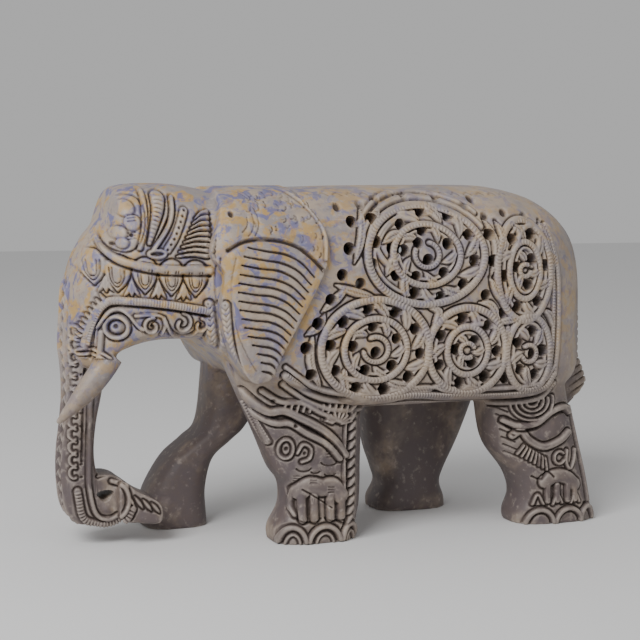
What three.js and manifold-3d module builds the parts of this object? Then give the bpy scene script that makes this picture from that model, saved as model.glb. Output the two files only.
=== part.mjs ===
// A soapstone elephant carved from one block: a hollow body with drilled lattice sides,
// a blocky dressed head, ears that hug the shoulders, two tusks, a trunk curled back to
// the leading forefoot, four striding legs and a notched tail.
// Millimetres. The head points to -X, Z is up, and the feet stand on Z = 0.
import * as THREE from 'three';
import { mergeVertices } from 'three/addons/utils/BufferGeometryUtils.js';
import Module from 'manifold-3d';

const wasm = await Module();
wasm.setup();

// ---- driving dimensions ----
const fullness = 2.4;          // exponent of the rounded sections, 2 would be an ellipse
const shoulderDepth = 38;      // how far the side rolls over into the back
const templeDepth = 30;        // the same on the head
const keelDepth = 9;           // roll of the lower edges
const wall = 8.5;              // stone left around the hollow body
const drillRadius = 2.75;      // corner radius of a drilled hole
const drillSides = 5;
const drillReach = 10;         // the drill stops this far from the middle plane
const outside = 60;            // beyond the widest point, where a cut starts
const bandSunk = 2.6;          // how deep a raised band is rooted in its ground
const bandRise = 1.5;          // how far a scroll band stands out
const narrowBand = 3.3;        // bands under this width come to a ridge
const headRise = 1.3;
const earLift = 2.7;           // the ear above the flank
const fanDepth = 1.3;          // the ribbed fan below the smooth cap of the ear
const legOuter = 38;           // outer and inner faces of the legs, from the middle plane
const legInner = 9.5;
const tailHalfWidth = 4;
const tuskSides = 6;

// x, half width, top and bottom of each section
const bodyStations = [
  [-66, 35.5, 150, 84],
  [-57, 40, 149.8, 77],
  [-46, 43, 150, 69],
  [-14, 43.5, 151, 59.5],
  [4, 43.5, 151.4, 55],
  [58, 43.5, 151.7, 55],
  [75, 42.6, 150.5, 54.5],
  [90, 39.3, 146.8, 55.5],
  [101, 34, 141.2, 58],
  [109.5, 26, 134.8, 62],
  [114.5, 17.5, 128.5, 67],
  [117.5, 7, 122, 73],
];
const headStations = [
  [-119.2, 9, 106.5, 84],
  [-117.6, 15, 115, 77],
  [-114.2, 21, 124.5, 74.5],
  [-109.2, 26, 132, 75],
  [-104.7, 28.3, 138, 78],
  [-101.8, 30, 146.5, 80],
  [-98.5, 32, 151, 82.5],
  [-88, 34, 152.3, 85.8],
  [-74, 34, 152, 86.5],
  [-62, 35, 150, 85],
];
const earStations = [
  [-72, 38, 151, 60],
  [-62, 44.3, 151.2, 60],
  [-52, 43.5 + earLift, 151.6, 60],
  [-10, 43.5 + earLift, 152, 60],
];
const hollowStations = [
  [-34, 43.5 - wall - 2, 150 - wall - 2, 80],
  [-16, 43.5 - wall, 151 - wall, 70],
  [4, 43.5 - wall, 151.3 - wall, 64],
  [62, 43.5 - wall, 151.4 - wall, 63.5],
  [80, 33, 140, 64],
  [93, 27, 135, 67],
  [103, 17, 127, 74],
];
// z, front x, back x, half width
const trunkStations = [
  [98, -119.6, -104, 15],
  [84, -120.4, -102.5, 14.5],
  [76, -119.6, -103.5, 13],
  [64, -119.2, -105, 12],
  [52, -120.2, -107.4, 11.2],
  [38, -122, -108.4, 10.8],
  [24, -122, -106, 10.4],
  [15, -120.4, -104, 9.8],
  [9, -116, -106, 8.5],
];

// ---- general geometry ----
const vec = (x, y, z) => new THREE.Vector3(x, y, z);
const near = -1;               // the side at -Y, carved in full
const far = 1;

// Closed faces through rings with the same number of points, capped at both ends.
function loft(rings) {
  const size = rings[0].length;
  const last = (rings.length - 1) * size;
  const faces = [];
  for (let start = 0; start < last; start += size) {
    for (let i = 0; i < size; i += 1) {
      const a = start + i;
      const b = start + ((i + 1) % size);
      faces.push(a, b, b + size, a, b + size, a + size);
    }
  }
  for (let i = 1; i < size - 1; i += 1) {
    faces.push(0, i + 1, i, last, last + i, last + i + 1);
  }
  return shell(rings.flat(), faces);
}

// Rings joined end to end into a closed loop.
function loop(rings) {
  const size = rings[0].length;
  const faces = [];
  rings.forEach((ring, index) => {
    const next = ((index + 1) % rings.length) * size;
    for (let i = 0; i < size; i += 1) {
      const j = (i + 1) % size;
      faces.push(index * size + i, index * size + j, next + j);
      faces.push(index * size + i, next + j, next + i);
    }
  });
  return shell(rings.flat(), faces);
}

function shell(points, faces) {
  const geometry = new THREE.BufferGeometry();
  const positions = points.flatMap((point) => [point.x, point.y, point.z]);
  geometry.setAttribute('position', new THREE.Float32BufferAttribute(positions, 3));
  geometry.setIndex(faces);
  return geometry;
}

// A closed geometry as a solid, with its faces turned outwards.
function solidOf(geometry) {
  const bare = geometry.clone();
  bare.deleteAttribute('normal');
  bare.deleteAttribute('uv');
  const merged = mergeVertices(bare, 1e-4);
  const vertProperties = new Float32Array(merged.attributes.position.array);
  const triVerts = new Uint32Array(merged.index.array);
  const corner = (index) => vec().fromArray(vertProperties, 3 * index);
  let volume = 0;
  for (let i = 0; i < triVerts.length; i += 3) {
    const [a, b, c] = [corner(triVerts[i]), corner(triVerts[i + 1]), corner(triVerts[i + 2])];
    volume += a.dot(b.cross(c));
  }
  if (volume < 0) {
    for (let i = 0; i < triVerts.length; i += 3) {
      [triVerts[i], triVerts[i + 1]] = [triVerts[i + 1], triVerts[i]];
    }
  }
  return new wasm.Manifold(new wasm.Mesh({ numProp: 3, vertProperties, triVerts }));
}

// A geometry made for the near side, set on either side of the middle plane.
const facing = (geometry, side) => geometry.clone().applyMatrix4(new THREE.Matrix4().makeScale(1, -side, 1));

// An outline in X and Z, extruded along Y between two distances on the near side.
function slab(outline, inner, outer, bevel = 0) {
  const shape = new THREE.Shape(outline.map(([x, z]) => new THREE.Vector2(x, z)));
  const geometry = new THREE.ExtrudeGeometry(shape, {
    depth: outer - inner - 2 * bevel,
    bevelEnabled: bevel > 0,
    bevelThickness: bevel,
    bevelSize: bevel,
    bevelOffset: -bevel,
    bevelSegments: 1,
  });
  return geometry.rotateX(Math.PI / 2).translate(0, -inner - bevel, 0);
}

// ---- the rounded forms ----
function stationAt(stations, x) {
  const upper = stations.findIndex((station) => station[0] >= x);
  if (upper <= 0) {
    return stations[upper === 0 ? 0 : stations.length - 1];
  }
  const [before, after] = [stations[upper - 1], stations[upper]];
  const share = (x - before[0]) / (after[0] - before[0]);
  return before.map((value, i) => THREE.MathUtils.lerp(value, after[i], share));
}

// Half width of a form at a place, where its section rolls over at the top and the keel.
function halfWidthAt(stations, roll, x, z) {
  const [, half, top, bottom] = stationAt(stations, x);
  const upper = Math.min(roll, (top - bottom) / 2);
  const rise = (z - top + upper) / upper;
  const drop = (bottom + keelDepth - z) / keelDepth;
  const off = THREE.MathUtils.clamp(Math.max(rise, drop, 0), 0, 0.98);
  return half * (1 - off ** fullness) ** (1 / fullness);
}

function sectionRing([x, half, top, bottom], roll, upperSteps, lowerSteps) {
  const upper = Math.min(roll, (top - bottom) / 2);
  const ring = [];
  const corner = (steps, level, height, reversed) => {
    const points = [];
    for (let i = 0; i <= steps; i += 1) {
      const angle = (Math.PI / 2) * (i / steps);
      const y = half * Math.cos(angle) ** (2 / fullness);
      points.push([y, level + height * Math.sin(angle) ** (2 / fullness)]);
    }
    return reversed ? points.reverse() : points;
  };
  const left = [...corner(lowerSteps, bottom + keelDepth, -keelDepth, true),
    ...corner(upperSteps, top - upper, upper, false)];
  left.forEach(([y, z]) => ring.push(vec(x, -y, z)));
  left.slice(1, -1).reverse().forEach(([y, z]) => ring.push(vec(x, y, z)));
  return ring;
}

function roundedForm(stations, roll, upperSteps = 4, lowerSteps = 2) {
  return solidOf(loft(stations.map((station) => sectionRing(station, roll, upperSteps, lowerSteps))));
}

const flank = (x, z) => halfWidthAt(bodyStations, shoulderDepth, x, z);
const cheek = (x, z) => halfWidthAt(headStations, templeDepth, x, z);
const earFace = (x, z) => halfWidthAt(earStations, shoulderDepth, x, z);

function trunkForm() {
  const rings = trunkStations.map(([z, front, back, half]) => {
    const chamfer = half * 0.42;
    return [
      vec(front, -half + chamfer, z), vec(front + chamfer, -half, z),
      vec(back - chamfer / 2, -half, z), vec(back, -half + chamfer, z),
      vec(back, half - chamfer, z), vec(back - chamfer / 2, half, z),
      vec(front + chamfer, half, z), vec(front, half - chamfer, z),
    ];
  });
  return solidOf(loft(rings));
}

// ---- raised bands and plates on a side face ----
// A band along a path of [x, z] points, rooted in the ground and rising from it.
function band(path, ground, rise, width, closed = false) {
  const points = path.map(([x, z]) => new THREE.Vector2(x, z));
  const count = points.length;
  const rings = points.map((point, i) => {
    const before = closed ? points[(i + count - 1) % count] : points[Math.max(i - 1, 0)];
    const after = closed ? points[(i + 1) % count] : points[Math.min(i + 1, count - 1)];
    const across = after.clone().sub(before).normalize().rotateAround(new THREE.Vector2(), Math.PI / 2);
    const place = (offset, lift) => {
      const x = point.x + across.x * offset;
      const z = point.y + across.y * offset;
      return vec(x, -(ground(x, z) + lift), z);
    };
    const half = width / 2;
    const root = [place(-half, -bandSunk), place(half, -bandSunk)];
    return width < narrowBand
      ? [...root, place(0, rise)]
      : [...root, place(half * 0.55, rise), place(-half * 0.55, rise)];
  });
  return closed ? loop(rings) : loft(rings);
}

// A small raised figure with an even rise above a curved ground.
function plate(outline, ground, rise) {
  const at = (lift) => outline.map(([x, z]) => vec(x, -(ground(x, z) + lift), z));
  return loft([at(-bandSunk), at(rise)]);
}

function ellipse([cx, cz], rx, rz, count, from = 0, turn = 360) {
  const closed = turn === 360;
  const points = [];
  for (let i = 0; i < (closed ? count : count + 1); i += 1) {
    const angle = THREE.MathUtils.degToRad(from + (turn * i) / count);
    points.push([cx + rx * Math.cos(angle), cz + rz * Math.sin(angle)]);
  }
  return points;
}

function smooth(points, count) {
  const curve = new THREE.CatmullRomCurve3(points.map(([x, z]) => vec(x, 0, z)));
  return curve.getSpacedPoints(count).map((point) => [point.x, point.z]);
}

// ---- the lattice of one flank ----
// Each medallion: its middle, its scroll bands as [x radius, z radius, sides], and its rings
// of drilled holes as [x radius, z radius, count, first angle, shift in x]. On the far side
// only the first band and the first ring are carved, with fewer holes, around one hole.
const medallions = [
  { middle: [27.5, 122], bands: [[27, 21, 11], [15.5, 13, 7]],
    rings: [[19.3, 18.2, 10, 99, 3], [11, 10.5, 5, 97, 0]], eyes: [[28, 119.8], [23.8, 127]] },
  { middle: [4, 82.5], bands: [[24.5, 21, 10], [14.2, 13, 7]],
    rings: [[20.5, 17.5, 10, 100, 0], [10.5, 10, 5, 98, 0]], eyes: [[4, 81.3]] },
  { middle: [46.5, 80.5], bands: [[18.5, 18.5, 9], [9.6, 10.4, 6]],
    rings: [[14.2, 14.4, 7, 100, 0], [5.4, 5.4, 3, 172, 0]], eyes: [] },
  { middle: [74.5, 114.5], bands: [[14, 22, 8], [8, 12.4, 6]],
    rings: [[10.6, 17, 6, 127, 0], [4.6, 6.5, 3, 166, 0]], eyes: [] },
  { middle: [77, 78], bands: [[11.5, 16.5, 8]],
    rings: [[7, 10, 5, 150, 0]], eyes: [[78.5, 77.8]] },
];
const farFewer = 3;            // holes and band sides left out of each far medallion
// Holes in the ground between the medallions: two columns behind the ear, and the gaps.
const earColumn = [[-4.8, 136], [-10.7, 115], [-21.5, 94.8], [-27, 84.5], [-24.9, 73.1]];
const secondColumn = [[4.6, 137.2], [4.3, 128], [1.8, 118.6], [-3, 110.5]];
const gapHoles = [[57.5, 130.2], [58.8, 119], [55, 104.3], [63.2, 96.2], [64.8, 67.8]];

function latticeHoles(full) {
  const spots = smooth(earColumn, full ? 6 : 4);
  spots.push(...(full ? [...smooth(secondColumn, 3), ...gapHoles] : []));
  medallions.forEach(({ middle: [cx, cz], rings, eyes }) => {
    rings.slice(0, full ? 2 : 1).forEach(([rx, rz, count, from, shift]) => {
      spots.push(...ellipse([cx + shift, cz], rx, rz, full ? count : count - farFewer, from));
    });
    spots.push(...(full ? eyes : eyes.slice(0, 1)));
  });
  return spots;
}

function drill([x, z]) {
  return slab(ellipse([x, z], drillRadius, drillRadius, drillSides), drillReach, outside);
}

const borderPath = [[-33, 70.5], [-24, 64.6], [-13, 61], [4, 60.2], [20, 62.3], [40, 60.8],
  [66, 59.8], [84, 61.5], [91, 68]];
const rearBorder = [[91, 70], [92.5, 85], [92, 112], [88, 132]];

function flankCarving(full) {
  const rims = medallions.flatMap(({ middle, bands }) => (
    bands.slice(0, full ? 2 : 1).map(([rx, rz, count]) => (
      ellipse(middle, rx, rz, full ? count : count - farFewer)))));
  const borders = [smooth(borderPath, full ? 7 : 5)];
  if (full) {
    borders.push(smooth(rearBorder, 3));
  }
  return [
    ...rims.map((path) => band(path, flank, bandRise, 3.2, true)),
    ...borders.map((path) => band(path, flank, bandRise, 3.5)),
  ];
}

// ---- ear ----
const earOutline = [[-62, 116], [-66.5, 124], [-61, 141], [-55.5, 156], [-31, 156], [-23.5, 142.5],
  [-17.4, 130], [-18.2, 119.8], [-23, 108.4], [-38.3, 80.9], [-42, 73], [-47.3, 70.6], [-52.4, 72.4],
  [-60.4, 86.5], [-63.4, 101]];
const fanOutline = [[-60, 124], [-52, 128.6], [-42.9, 129.2], [-34, 127.2], [-26.5, 122.2],
  [-22.6, 117.6], [-25, 108.6], [-43.5, 75], [-47.3, 73.2], [-50.6, 75.2], [-57.8, 92], [-59, 105]];
const ribCount = 9;
const farRibCount = 5;

function earRibGroove(share) {
  const lerp = THREE.MathUtils.lerp;
  const start = [lerp(-57.5, -50, share ** 2), lerp(122, 80, share)];
  const end = [lerp(-24.2, -43, share), lerp(114, 76, share)];
  const sag = lerp(2.4, 0.6, share);
  return [start, [lerp(start[0], end[0], 0.6), lerp(start[1], end[1], 0.45) + sag], end];
}

// A V-shaped groove cut into a face along a path.
function groove(path, ground, depth, width) {
  const rings = path.map(([x, z]) => {
    const place = (offset, lift) => vec(x, -(ground(x, z + offset) + lift), z + offset);
    return [place(-width / 2, 0.8), place(width / 2, 0.8), place(0, -depth)];
  });
  return loft(rings);
}

function earSolid(side) {
  const cut = solidOf(facing(slab(earOutline, 8, outside), side));
  let ear = roundedForm(earStations, shoulderDepth).intersect(cut);
  const lowered = earStations.map(([x, half, top, bottom]) => [x, half - fanDepth, top - 0.2, bottom]);
  const ground = roundedForm(lowered, shoulderDepth, 3, 1);
  const fan = solidOf(facing(slab(fanOutline, 25, outside), side)).subtract(ground);
  ear = ear.subtract(fan);
  const fanFace = (x, z) => earFace(x, z) - fanDepth;
  const count = side === near ? ribCount : farRibCount;
  for (let i = 0; i < count; i += 1) {
    ear = ear.subtract(solidOf(facing(groove(earRibGroove(i / (count - 1)), fanFace, 1.4, 1.6), side)));
  }
  return ear;
}

// ---- head ----
function headCarving(full) {
  const strap = smooth([[-109, 131], [-107, 124.8], [-98, 119.9], [-86, 117.8], [-66, 117]], 4);
  const jawPath = [[-115, 86], [-113.2, 92], [-110.4, 100], [-104.4, 104.6], [-92, 104.2], [-66, 100.4]];
  const jawBand = smooth(jawPath, 5);
  const bands = [
    band(strap, cheek, headRise, 3.4),
    band(jawBand, cheek, headRise, 3.2),
    band(ellipse([-103.4, 94], 4.4, 4.4, 7), cheek, headRise, 2, true),
  ];
  if (!full) {
    return bands;
  }
  bands.push(
    band(ellipse([-102.2, 93.4], 7.4, 6.4, 3, 160, -130), cheek, headRise, 1.8),
    band(ellipse([-99.8, 136.4], 7.2, 11, 8), cheek, headRise, 2.2, true),
    band([[-91.2, 147], [-92.6, 136], [-94.5, 126]], cheek, headRise, 2),
    band([[-79.5, 145], [-81.8, 135], [-89.6, 125.2]], cheek, headRise, 1.8),
    band([[-117.6, 84.6], [-112, 84.3], [-105.8, 80.4]], cheek, headRise, 1.8),
    ...garlandPetals(),
    ...templeFan(),
  );
  const curls = [[-90, 94.4, 3.6], [-78.6, 94.4, 4.6]];
  curls.forEach(([x, z, radius]) => bands.push(
    band(ellipse([x, z], radius, radius, 5, 100, 270), cheek, headRise, 1.6)));
  return bands;
}

function garlandPetals() {
  const spots = [[-111.4, 115.6], [-102.6, 113.4], [-92, 112], [-81, 111], [-71, 110.4]];
  return spots.map(([x, z]) => {
    const outline = [[-4, 4], [4, 4], [4.2, -0.5], [0, -5.4], [-4.2, -0.5]];
    return plate(outline.map(([dx, dz]) => [x + dx, z + dz]), cheek, headRise);
  });
}

const bladeCount = 5;

function templeFan() {
  const blades = [];
  for (let i = 0; i < bladeCount; i += 1) {
    const share = i / (bladeCount - 1);
    const root = [-66 - 3.5 * share, 138 - 14.5 * share];
    const tip = [-70.5 - 6.5 * share, 135.5 - 14 * share];
    blades.push(band([root, tip], cheek, headRise, 1.5));
  }
  return blades;
}

// ---- tusks: the far one is a short stub beside the trunk ----
const tusks = {
  [near]: {
    route: [[-104, -23, 82], [-115, -25.5, 67], [-127.6, -25.5, 55.4]],
    radii: [5, 5.2, 4.9, 4, 2.6, 1],
  },
  [far]: {
    route: [[-104, -23, 82], [-110, -24, 73], [-114.5, -23.5, 66]],
    radii: [5, 4.8, 3.8, 1.6],
  },
};

function tuskGeometry(side) {
  const { route, radii } = tusks[side];
  const axis = new THREE.QuadraticBezierCurve3(...route.map((place) => vec(...place)));
  const rings = radii.map((radius, i) => {
    const share = i / (radii.length - 1);
    const middle = axis.getPointAt(share);
    const forward = axis.getTangentAt(share);
    const across = vec(0, 1, 0);
    const up = forward.clone().cross(across).normalize();
    const ring = [];
    for (let k = 0; k < tuskSides; k += 1) {
      const angle = (2 * Math.PI * k) / tuskSides;
      ring.push(middle.clone().addScaledVector(across, radius * Math.cos(angle))
        .addScaledVector(up, radius * Math.sin(angle)));
    }
    return ring;
  });
  return loft(rings);
}

// ---- trunk end: a curled leaf that touches the leading forefoot ----
const curlMiddle = [-104.6, 19];
const curlRadius = 11;
const ridgeCount = 6;
const ridgePitch = 9;
const lowestRidge = 18;
const ridgeRise = 1.1;
const ridgeReach = 5;          // half the length of a ridge

function trunkCurl() {
  const disc = slab(ellipse(curlMiddle, curlRadius, curlRadius, 14), -9, 9, 1.6);
  const eye = slab([[-108.6, 22.2], [-104.8, 19], [-101, 22.6], [-104.8, 23.6]], -20, 20);
  const leaf = slab([[-99, 27], [-91, 22.5], [-82, 17], [-82, 9], [-91, 9.5], [-99, 12]], -15, 4);
  return solidOf(disc).add(solidOf(leaf)).subtract(solidOf(eye));
}

// Low ridges across the front of the trunk, one above the other.
function trunkRidges() {
  const rising = [...trunkStations].reverse();
  const ridges = [];
  for (let i = 0; i < ridgeCount; i += 1) {
    const z = lowestRidge + ridgePitch * i;
    const front = stationAt(rising, z)[1];
    const [crest, root] = [front - ridgeRise, front + 2];
    const outline = [[crest, z - 1], [crest, z + 2], [root, z + 3.2], [root, z - 2.2]];
    ridges.push(slab(outline, -ridgeReach, ridgeReach));
  }
  return ridges;
}

// ---- legs ----
// z, front x and back x of each leg; all four are as thick as legInner and legOuter say. The far
// legs are a stride ahead of the near ones.
const nearFore = [[0, -37, 0], [15, -32.3, 2.1], [25, -32.6, 2.6], [32, -37.4, 2.8],
  [47, -43.7, 3.3], [77, -57, 3]];
const farFore = [[0, -81.8, -52.6], [17, -80.2, -53.4], [30, -72, -50], [38, -62.5, -41], [46, -55.5, -33],
  [74, -52.6, -16]];
const nearHind = [[0, 76.2, 117.2], [13, 78.9, 114.2], [23, 75.4, 111.9], [36, 65.5, 108.5],
  [50, 61.9, 104.7], [72, 60, 100]];
const farHind = [[0, 28, 64.5], [12, 31.8, 61.6], [19, 29.8, 64.1], [36, 24.5, 73.1], [72, 22, 88]];
const softAlong = 0.19;        // rounding of the leg corners, as a share of the leg's length
const softAcross = 8.5;

function legForm(stations) {
  const rings = stations.map(([z, front, back]) => {
    const soft = (back - front) * softAlong;
    return [
      vec(front + soft, -legOuter, z), vec(back - soft, -legOuter, z),
      vec(back, -legOuter + softAcross, z), vec(back, -legInner - softAcross, z),
      vec(back - soft, -legInner, z), vec(front + soft, -legInner, z),
      vec(front, -legInner - softAcross, z), vec(front, -legOuter + softAcross, z),
    ];
  });
  return loft(rings);
}

// The outer face of a leg, which rolls away towards its front and back edges.
function legFace(stations) {
  return (x, z) => {
    const [, front, back] = stationAt(stations, z);
    const soft = (back - front) * softAlong;
    const over = Math.max(Math.abs(x - (front + back) / 2) - (back - front) / 2 + soft, 0) / soft;
    return legOuter - 0.3 - softAcross * Math.min(over, 1);
  };
}

function legSolids() {
  const farLegs = [farFore, farHind].map((stations) => facing(legForm(stations), far));
  return [legForm(nearFore), legForm(nearHind), ...farLegs];
}

// A small raised elephant, the figure on the outside of each leg, 1 unit high and long.
const figure = [[-0.5, 0.78], [-0.36, 1], [-0.2, 0.86], [0.16, 0.98], [0.44, 0.8], [0.5, 0.5], [0.42, 0],
  [0.18, 0], [0.14, 0.4], [-0.12, 0.42], [-0.14, 0], [-0.42, 0], [-0.5, 0.45]];

function figureSlab(x, z, length, height) {
  const outline = figure.map(([along, up]) => [x + along * length, z + up * height]);
  return slab(outline, legOuter - 3, legOuter + 1.2);
}

const notchCount = 4;          // slanted bars up the rear edge of the near fore leg
const notchPitch = 9;
const lowestNotch = 15;

function legCarving() {
  const [fore, hind] = [legFace(nearFore), legFace(nearHind)];
  const bands = [
    band(smooth([[-49, 60], [-41, 54], [-30, 55], [-17, 47.5], [-7.5, 37]], 5), fore, 1.2, 2.8),
    band(ellipse([-34.8, 41.4], 2.8, 3.6, 6), fore, 1.1, 1.5, true),
    band(ellipse([-29.5, 0.8], 5.2, 7, 3, 165, -150), fore, 1.1, 2),
    band(ellipse([-15, 0.8], 6.6, 7.4, 3, 165, -150), fore, 1.1, 2),
    figureSlab(-18, 11.5, 19, 27),
    band(smooth([[66, 50], [74, 40], [84, 43], [95, 34]], 4), hind, 1.2, 2.6),
    band(ellipse([82, 52], 6, 5, 3, 190, 160), hind, 1.1, 1.8),
    band(ellipse([87.5, 0.8], 5.8, 6.8, 3, 165, -150), hind, 1.1, 2),
    band(ellipse([102, 0.8], 6, 7, 3, 165, -150), hind, 1.1, 2),
    figureSlab(95, 12, 17, 19),
  ];
  for (let i = 0; i < notchCount; i += 1) {
    const z = lowestNotch + notchPitch * i;
    bands.push(band([[-9.6, z], [-5.2, z + 3.2]], fore, 1, 1.6));
  }
  return bands;
}

// ---- tail ----
function tailGeometry() {
  const line = smooth([[108, 137], [114.5, 130], [119.4, 118], [122.6, 104], [123.4, 86], [123.4, 72]], 13);
  const outer = line.flatMap(([x, z], i) => (i % 2 ? [[x + 0.5, z]] : [[x - 0.9, z + 0.6]]));
  const tuft = [[125.4, 67.7], [128.5, 58.9], [123.9, 52.9], [117, 47], [104, 50]];
  return slab([...outer, ...tuft, [104, 100], [104, 132]], -tailHalfWidth, tailHalfWidth);
}

// ---- the whole carving ----
// Specks of air caught between overlapping forms come apart from the stone and are left out.
function elephant() {
  let stone = roundedForm(bodyStations, shoulderDepth).add(roundedForm(headStations, templeDepth));
  stone = stone.add(trunkForm());
  const rooted = [...legSolids(), tailGeometry(), ...trunkRidges()];
  rooted.forEach((geometry) => {
    stone = stone.add(solidOf(geometry));
  });
  stone = stone.add(trunkCurl());
  [near, far].forEach((side) => {
    const full = side === near;
    stone = stone.add(earSolid(side));
    [...flankCarving(full), ...headCarving(full), tuskGeometry(side)].forEach((geometry) => {
      stone = stone.add(solidOf(facing(geometry, side)));
    });
  });
  legCarving().forEach((geometry) => {
    stone = stone.add(solidOf(geometry));
  });
  const hollow = roundedForm(hollowStations, shoulderDepth - wall, 3, 1);
  stone = stone.subtract(hollow);
  [near, far].forEach((side) => {
    latticeHoles(side === near).forEach((spot) => {
      stone = stone.subtract(solidOf(facing(drill(spot), side)));
    });
  });
  return stone.decompose().sort((a, b) => b.volume() - a.volume())[0];
}

// The solid as a three.js geometry, stood on the ground with its middle over the origin.
function geometryOf(solid) {
  const { numProp, vertProperties, triVerts } = solid.getMesh();
  const geometry = new THREE.BufferGeometry();
  const positions = Float32Array.from({ length: (vertProperties.length / numProp) * 3 }, (_, i) => (
    vertProperties[Math.floor(i / 3) * numProp + (i % 3)]));
  geometry.setAttribute('position', new THREE.BufferAttribute(positions, 3));
  geometry.setIndex(new THREE.BufferAttribute(new Uint32Array(triVerts), 1));
  geometry.computeBoundingBox();
  const { min, max } = geometry.boundingBox;
  geometry.translate(-(min.x + max.x) / 2, -(min.y + max.y) / 2, -min.z);
  return geometry;
}

const soapstone = new THREE.MeshStandardMaterial({ color: 0xb3a89c, roughness: 0.62, metalness: 0 });
const carving = new THREE.Mesh(geometryOf(elephant()), soapstone);
carving.name = 'elephant';

const group = new THREE.Group();
group.add(carving);
export default group;
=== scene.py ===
# An openwork elephant carved from one block of mottled soapstone.
# The blank is built and remeshed in millimetres, the carving is worked into its surface
# stroke by stroke, the sides are drilled into the hollow body, and the lot is brought to metres.
import math
import bmesh
import bpy
import numpy as np
from mathutils import Matrix, Vector


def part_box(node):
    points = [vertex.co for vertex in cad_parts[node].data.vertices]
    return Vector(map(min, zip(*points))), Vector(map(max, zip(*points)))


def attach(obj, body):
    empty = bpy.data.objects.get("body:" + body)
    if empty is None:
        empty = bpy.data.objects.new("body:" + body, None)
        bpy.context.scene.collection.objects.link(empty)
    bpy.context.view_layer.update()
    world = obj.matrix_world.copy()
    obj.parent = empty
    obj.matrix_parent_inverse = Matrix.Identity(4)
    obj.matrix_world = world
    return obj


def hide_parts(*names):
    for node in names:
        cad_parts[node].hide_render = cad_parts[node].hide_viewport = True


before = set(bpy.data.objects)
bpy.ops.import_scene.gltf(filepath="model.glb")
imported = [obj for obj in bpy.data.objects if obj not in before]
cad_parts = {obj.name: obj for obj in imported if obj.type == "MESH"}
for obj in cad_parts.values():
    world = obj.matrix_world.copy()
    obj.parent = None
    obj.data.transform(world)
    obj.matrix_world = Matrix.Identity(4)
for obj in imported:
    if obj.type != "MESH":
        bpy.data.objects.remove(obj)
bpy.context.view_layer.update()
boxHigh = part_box("elephant")[1]
shiftX = boxHigh[0] * 1000 - 128.5      # the tail tuft is the rearmost point
near, far = -1, 1                       # the carved side is at -Y


# ---- curves ----
def throughPoints(points, perSpan=8, closed=False):
    p = np.array(points, float)
    if closed:
        p = np.vstack([p[-1], p, p[0], p[1]])
    else:
        p = np.vstack([2 * p[0] - p[1], p, 2 * p[-1] - p[-2]])
    t = np.linspace(0, 1, perSpan, endpoint=False)[:, None]
    spans = []
    for a, b, c, d in zip(p, p[1:], p[2:], p[3:]):
        spans.append(0.5 * (2 * b + (c - a) * t + (2 * a - 5 * b + 4 * c - d) * t ** 2
                            + (3 * b - a - 3 * c + d) * t ** 3))
    end = p[1] if closed else p[-2]
    return np.vstack(spans + [end[None]])


def evenly(path, step):
    path = np.array(path, float)
    lengths = np.hypot(*(path[1:, :2] - path[:-1, :2]).T)
    reach = np.concatenate([[0], np.cumsum(lengths)])
    count = max(2, int(round(reach[-1] / step)) + 1)
    marks = np.linspace(0, reach[-1], count)
    return np.column_stack([np.interp(marks, reach, column) for column in path.T])


def flowing(points, step=0.8, closed=False):
    return evenly(throughPoints(points, 10, closed), step)


def arc(middle, rx, rz, fromAngle=0, turn=360, step=0.8):
    count = max(8, int(abs(turn) / 360 * math.pi * (rx + rz) / step))
    angles = np.radians(fromAngle + np.linspace(0, turn, count + 1))
    return np.column_stack([middle[0] + rx * np.cos(angles), middle[1] + rz * np.sin(angles)])


def spiral(middle, outer, inner, fromAngle, turn, step=0.8):
    count = max(12, int(abs(turn) / 360 * math.pi * (outer[0] + outer[1]) / step))
    share = np.linspace(0, 1, count + 1)
    angles = np.radians(fromAngle + turn * share)
    rx = outer[0] + (inner[0] - outer[0]) * share
    rz = outer[1] + (inner[1] - outer[1]) * share
    return np.column_stack([middle[0] + rx * np.cos(angles), middle[1] + rz * np.sin(angles)])


# ---- the forms, in millimetres ----
form = {
    "fullness": 2.4, "shoulderRoll": 38, "templeRoll": 30, "keelRoll": 9, "wall": 8.5,
    # x, half width, top, bottom
    "body": [(-66, 35.5, 150, 84), (-57, 40, 149.8, 77), (-46, 43, 150, 69), (-14, 43.5, 151, 59.5),
             (4, 43.5, 151.4, 55), (58, 43.5, 151.7, 55), (75, 42.6, 150.5, 54.5), (90, 39.3, 146.8,
                                                            55.5),
             (101, 34, 141.2, 58), (109.5, 26, 134.8, 62), (114.5, 17.5, 128.5, 67), (117.5, 7, 122,
                                                            73)],
    "head": [(-119.2, 9, 106.5, 84), (-117.6, 15, 115, 77), (-114.2, 21, 124.5, 74.5),
             (-109.2, 26, 132, 75), (-104.7, 28.3, 138, 78), (-101.8, 30, 146.5, 80), (-98.5, 32, 151,
                                                            82.5),
             (-88, 34, 152.3, 85.8), (-74, 34, 152, 86.5), (-62, 35, 150, 85)],
    "ear": [(-72, 38, 151, 60), (-62, 44.3, 151.2, 60), (-52, 46.2, 151.6, 60), (-10, 46.2, 152, 60)],
    "hollow": [(-34, 33, 139.5, 80), (-16, 35, 142.5, 70), (4, 35, 142.8, 64), (62, 35, 142.9, 63.5),
               (80, 33, 140, 64), (93, 27, 135, 67), (103, 17, 127, 74)],
    # z, front x, back x, half width
    "trunk": [(98, -119.6, -104, 15), (84, -120.4, -102.5, 14.5), (76, -119.6, -103.5, 13),
              (64, -119.2, -105, 12), (52, -120.2, -107.4, 11.2), (38, -122, -108.4, 10.8),
              (24, -122, -106, 10.4), (15, -120.4, -104, 9.8), (9, -116, -106, 8.5)],
}
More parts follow.
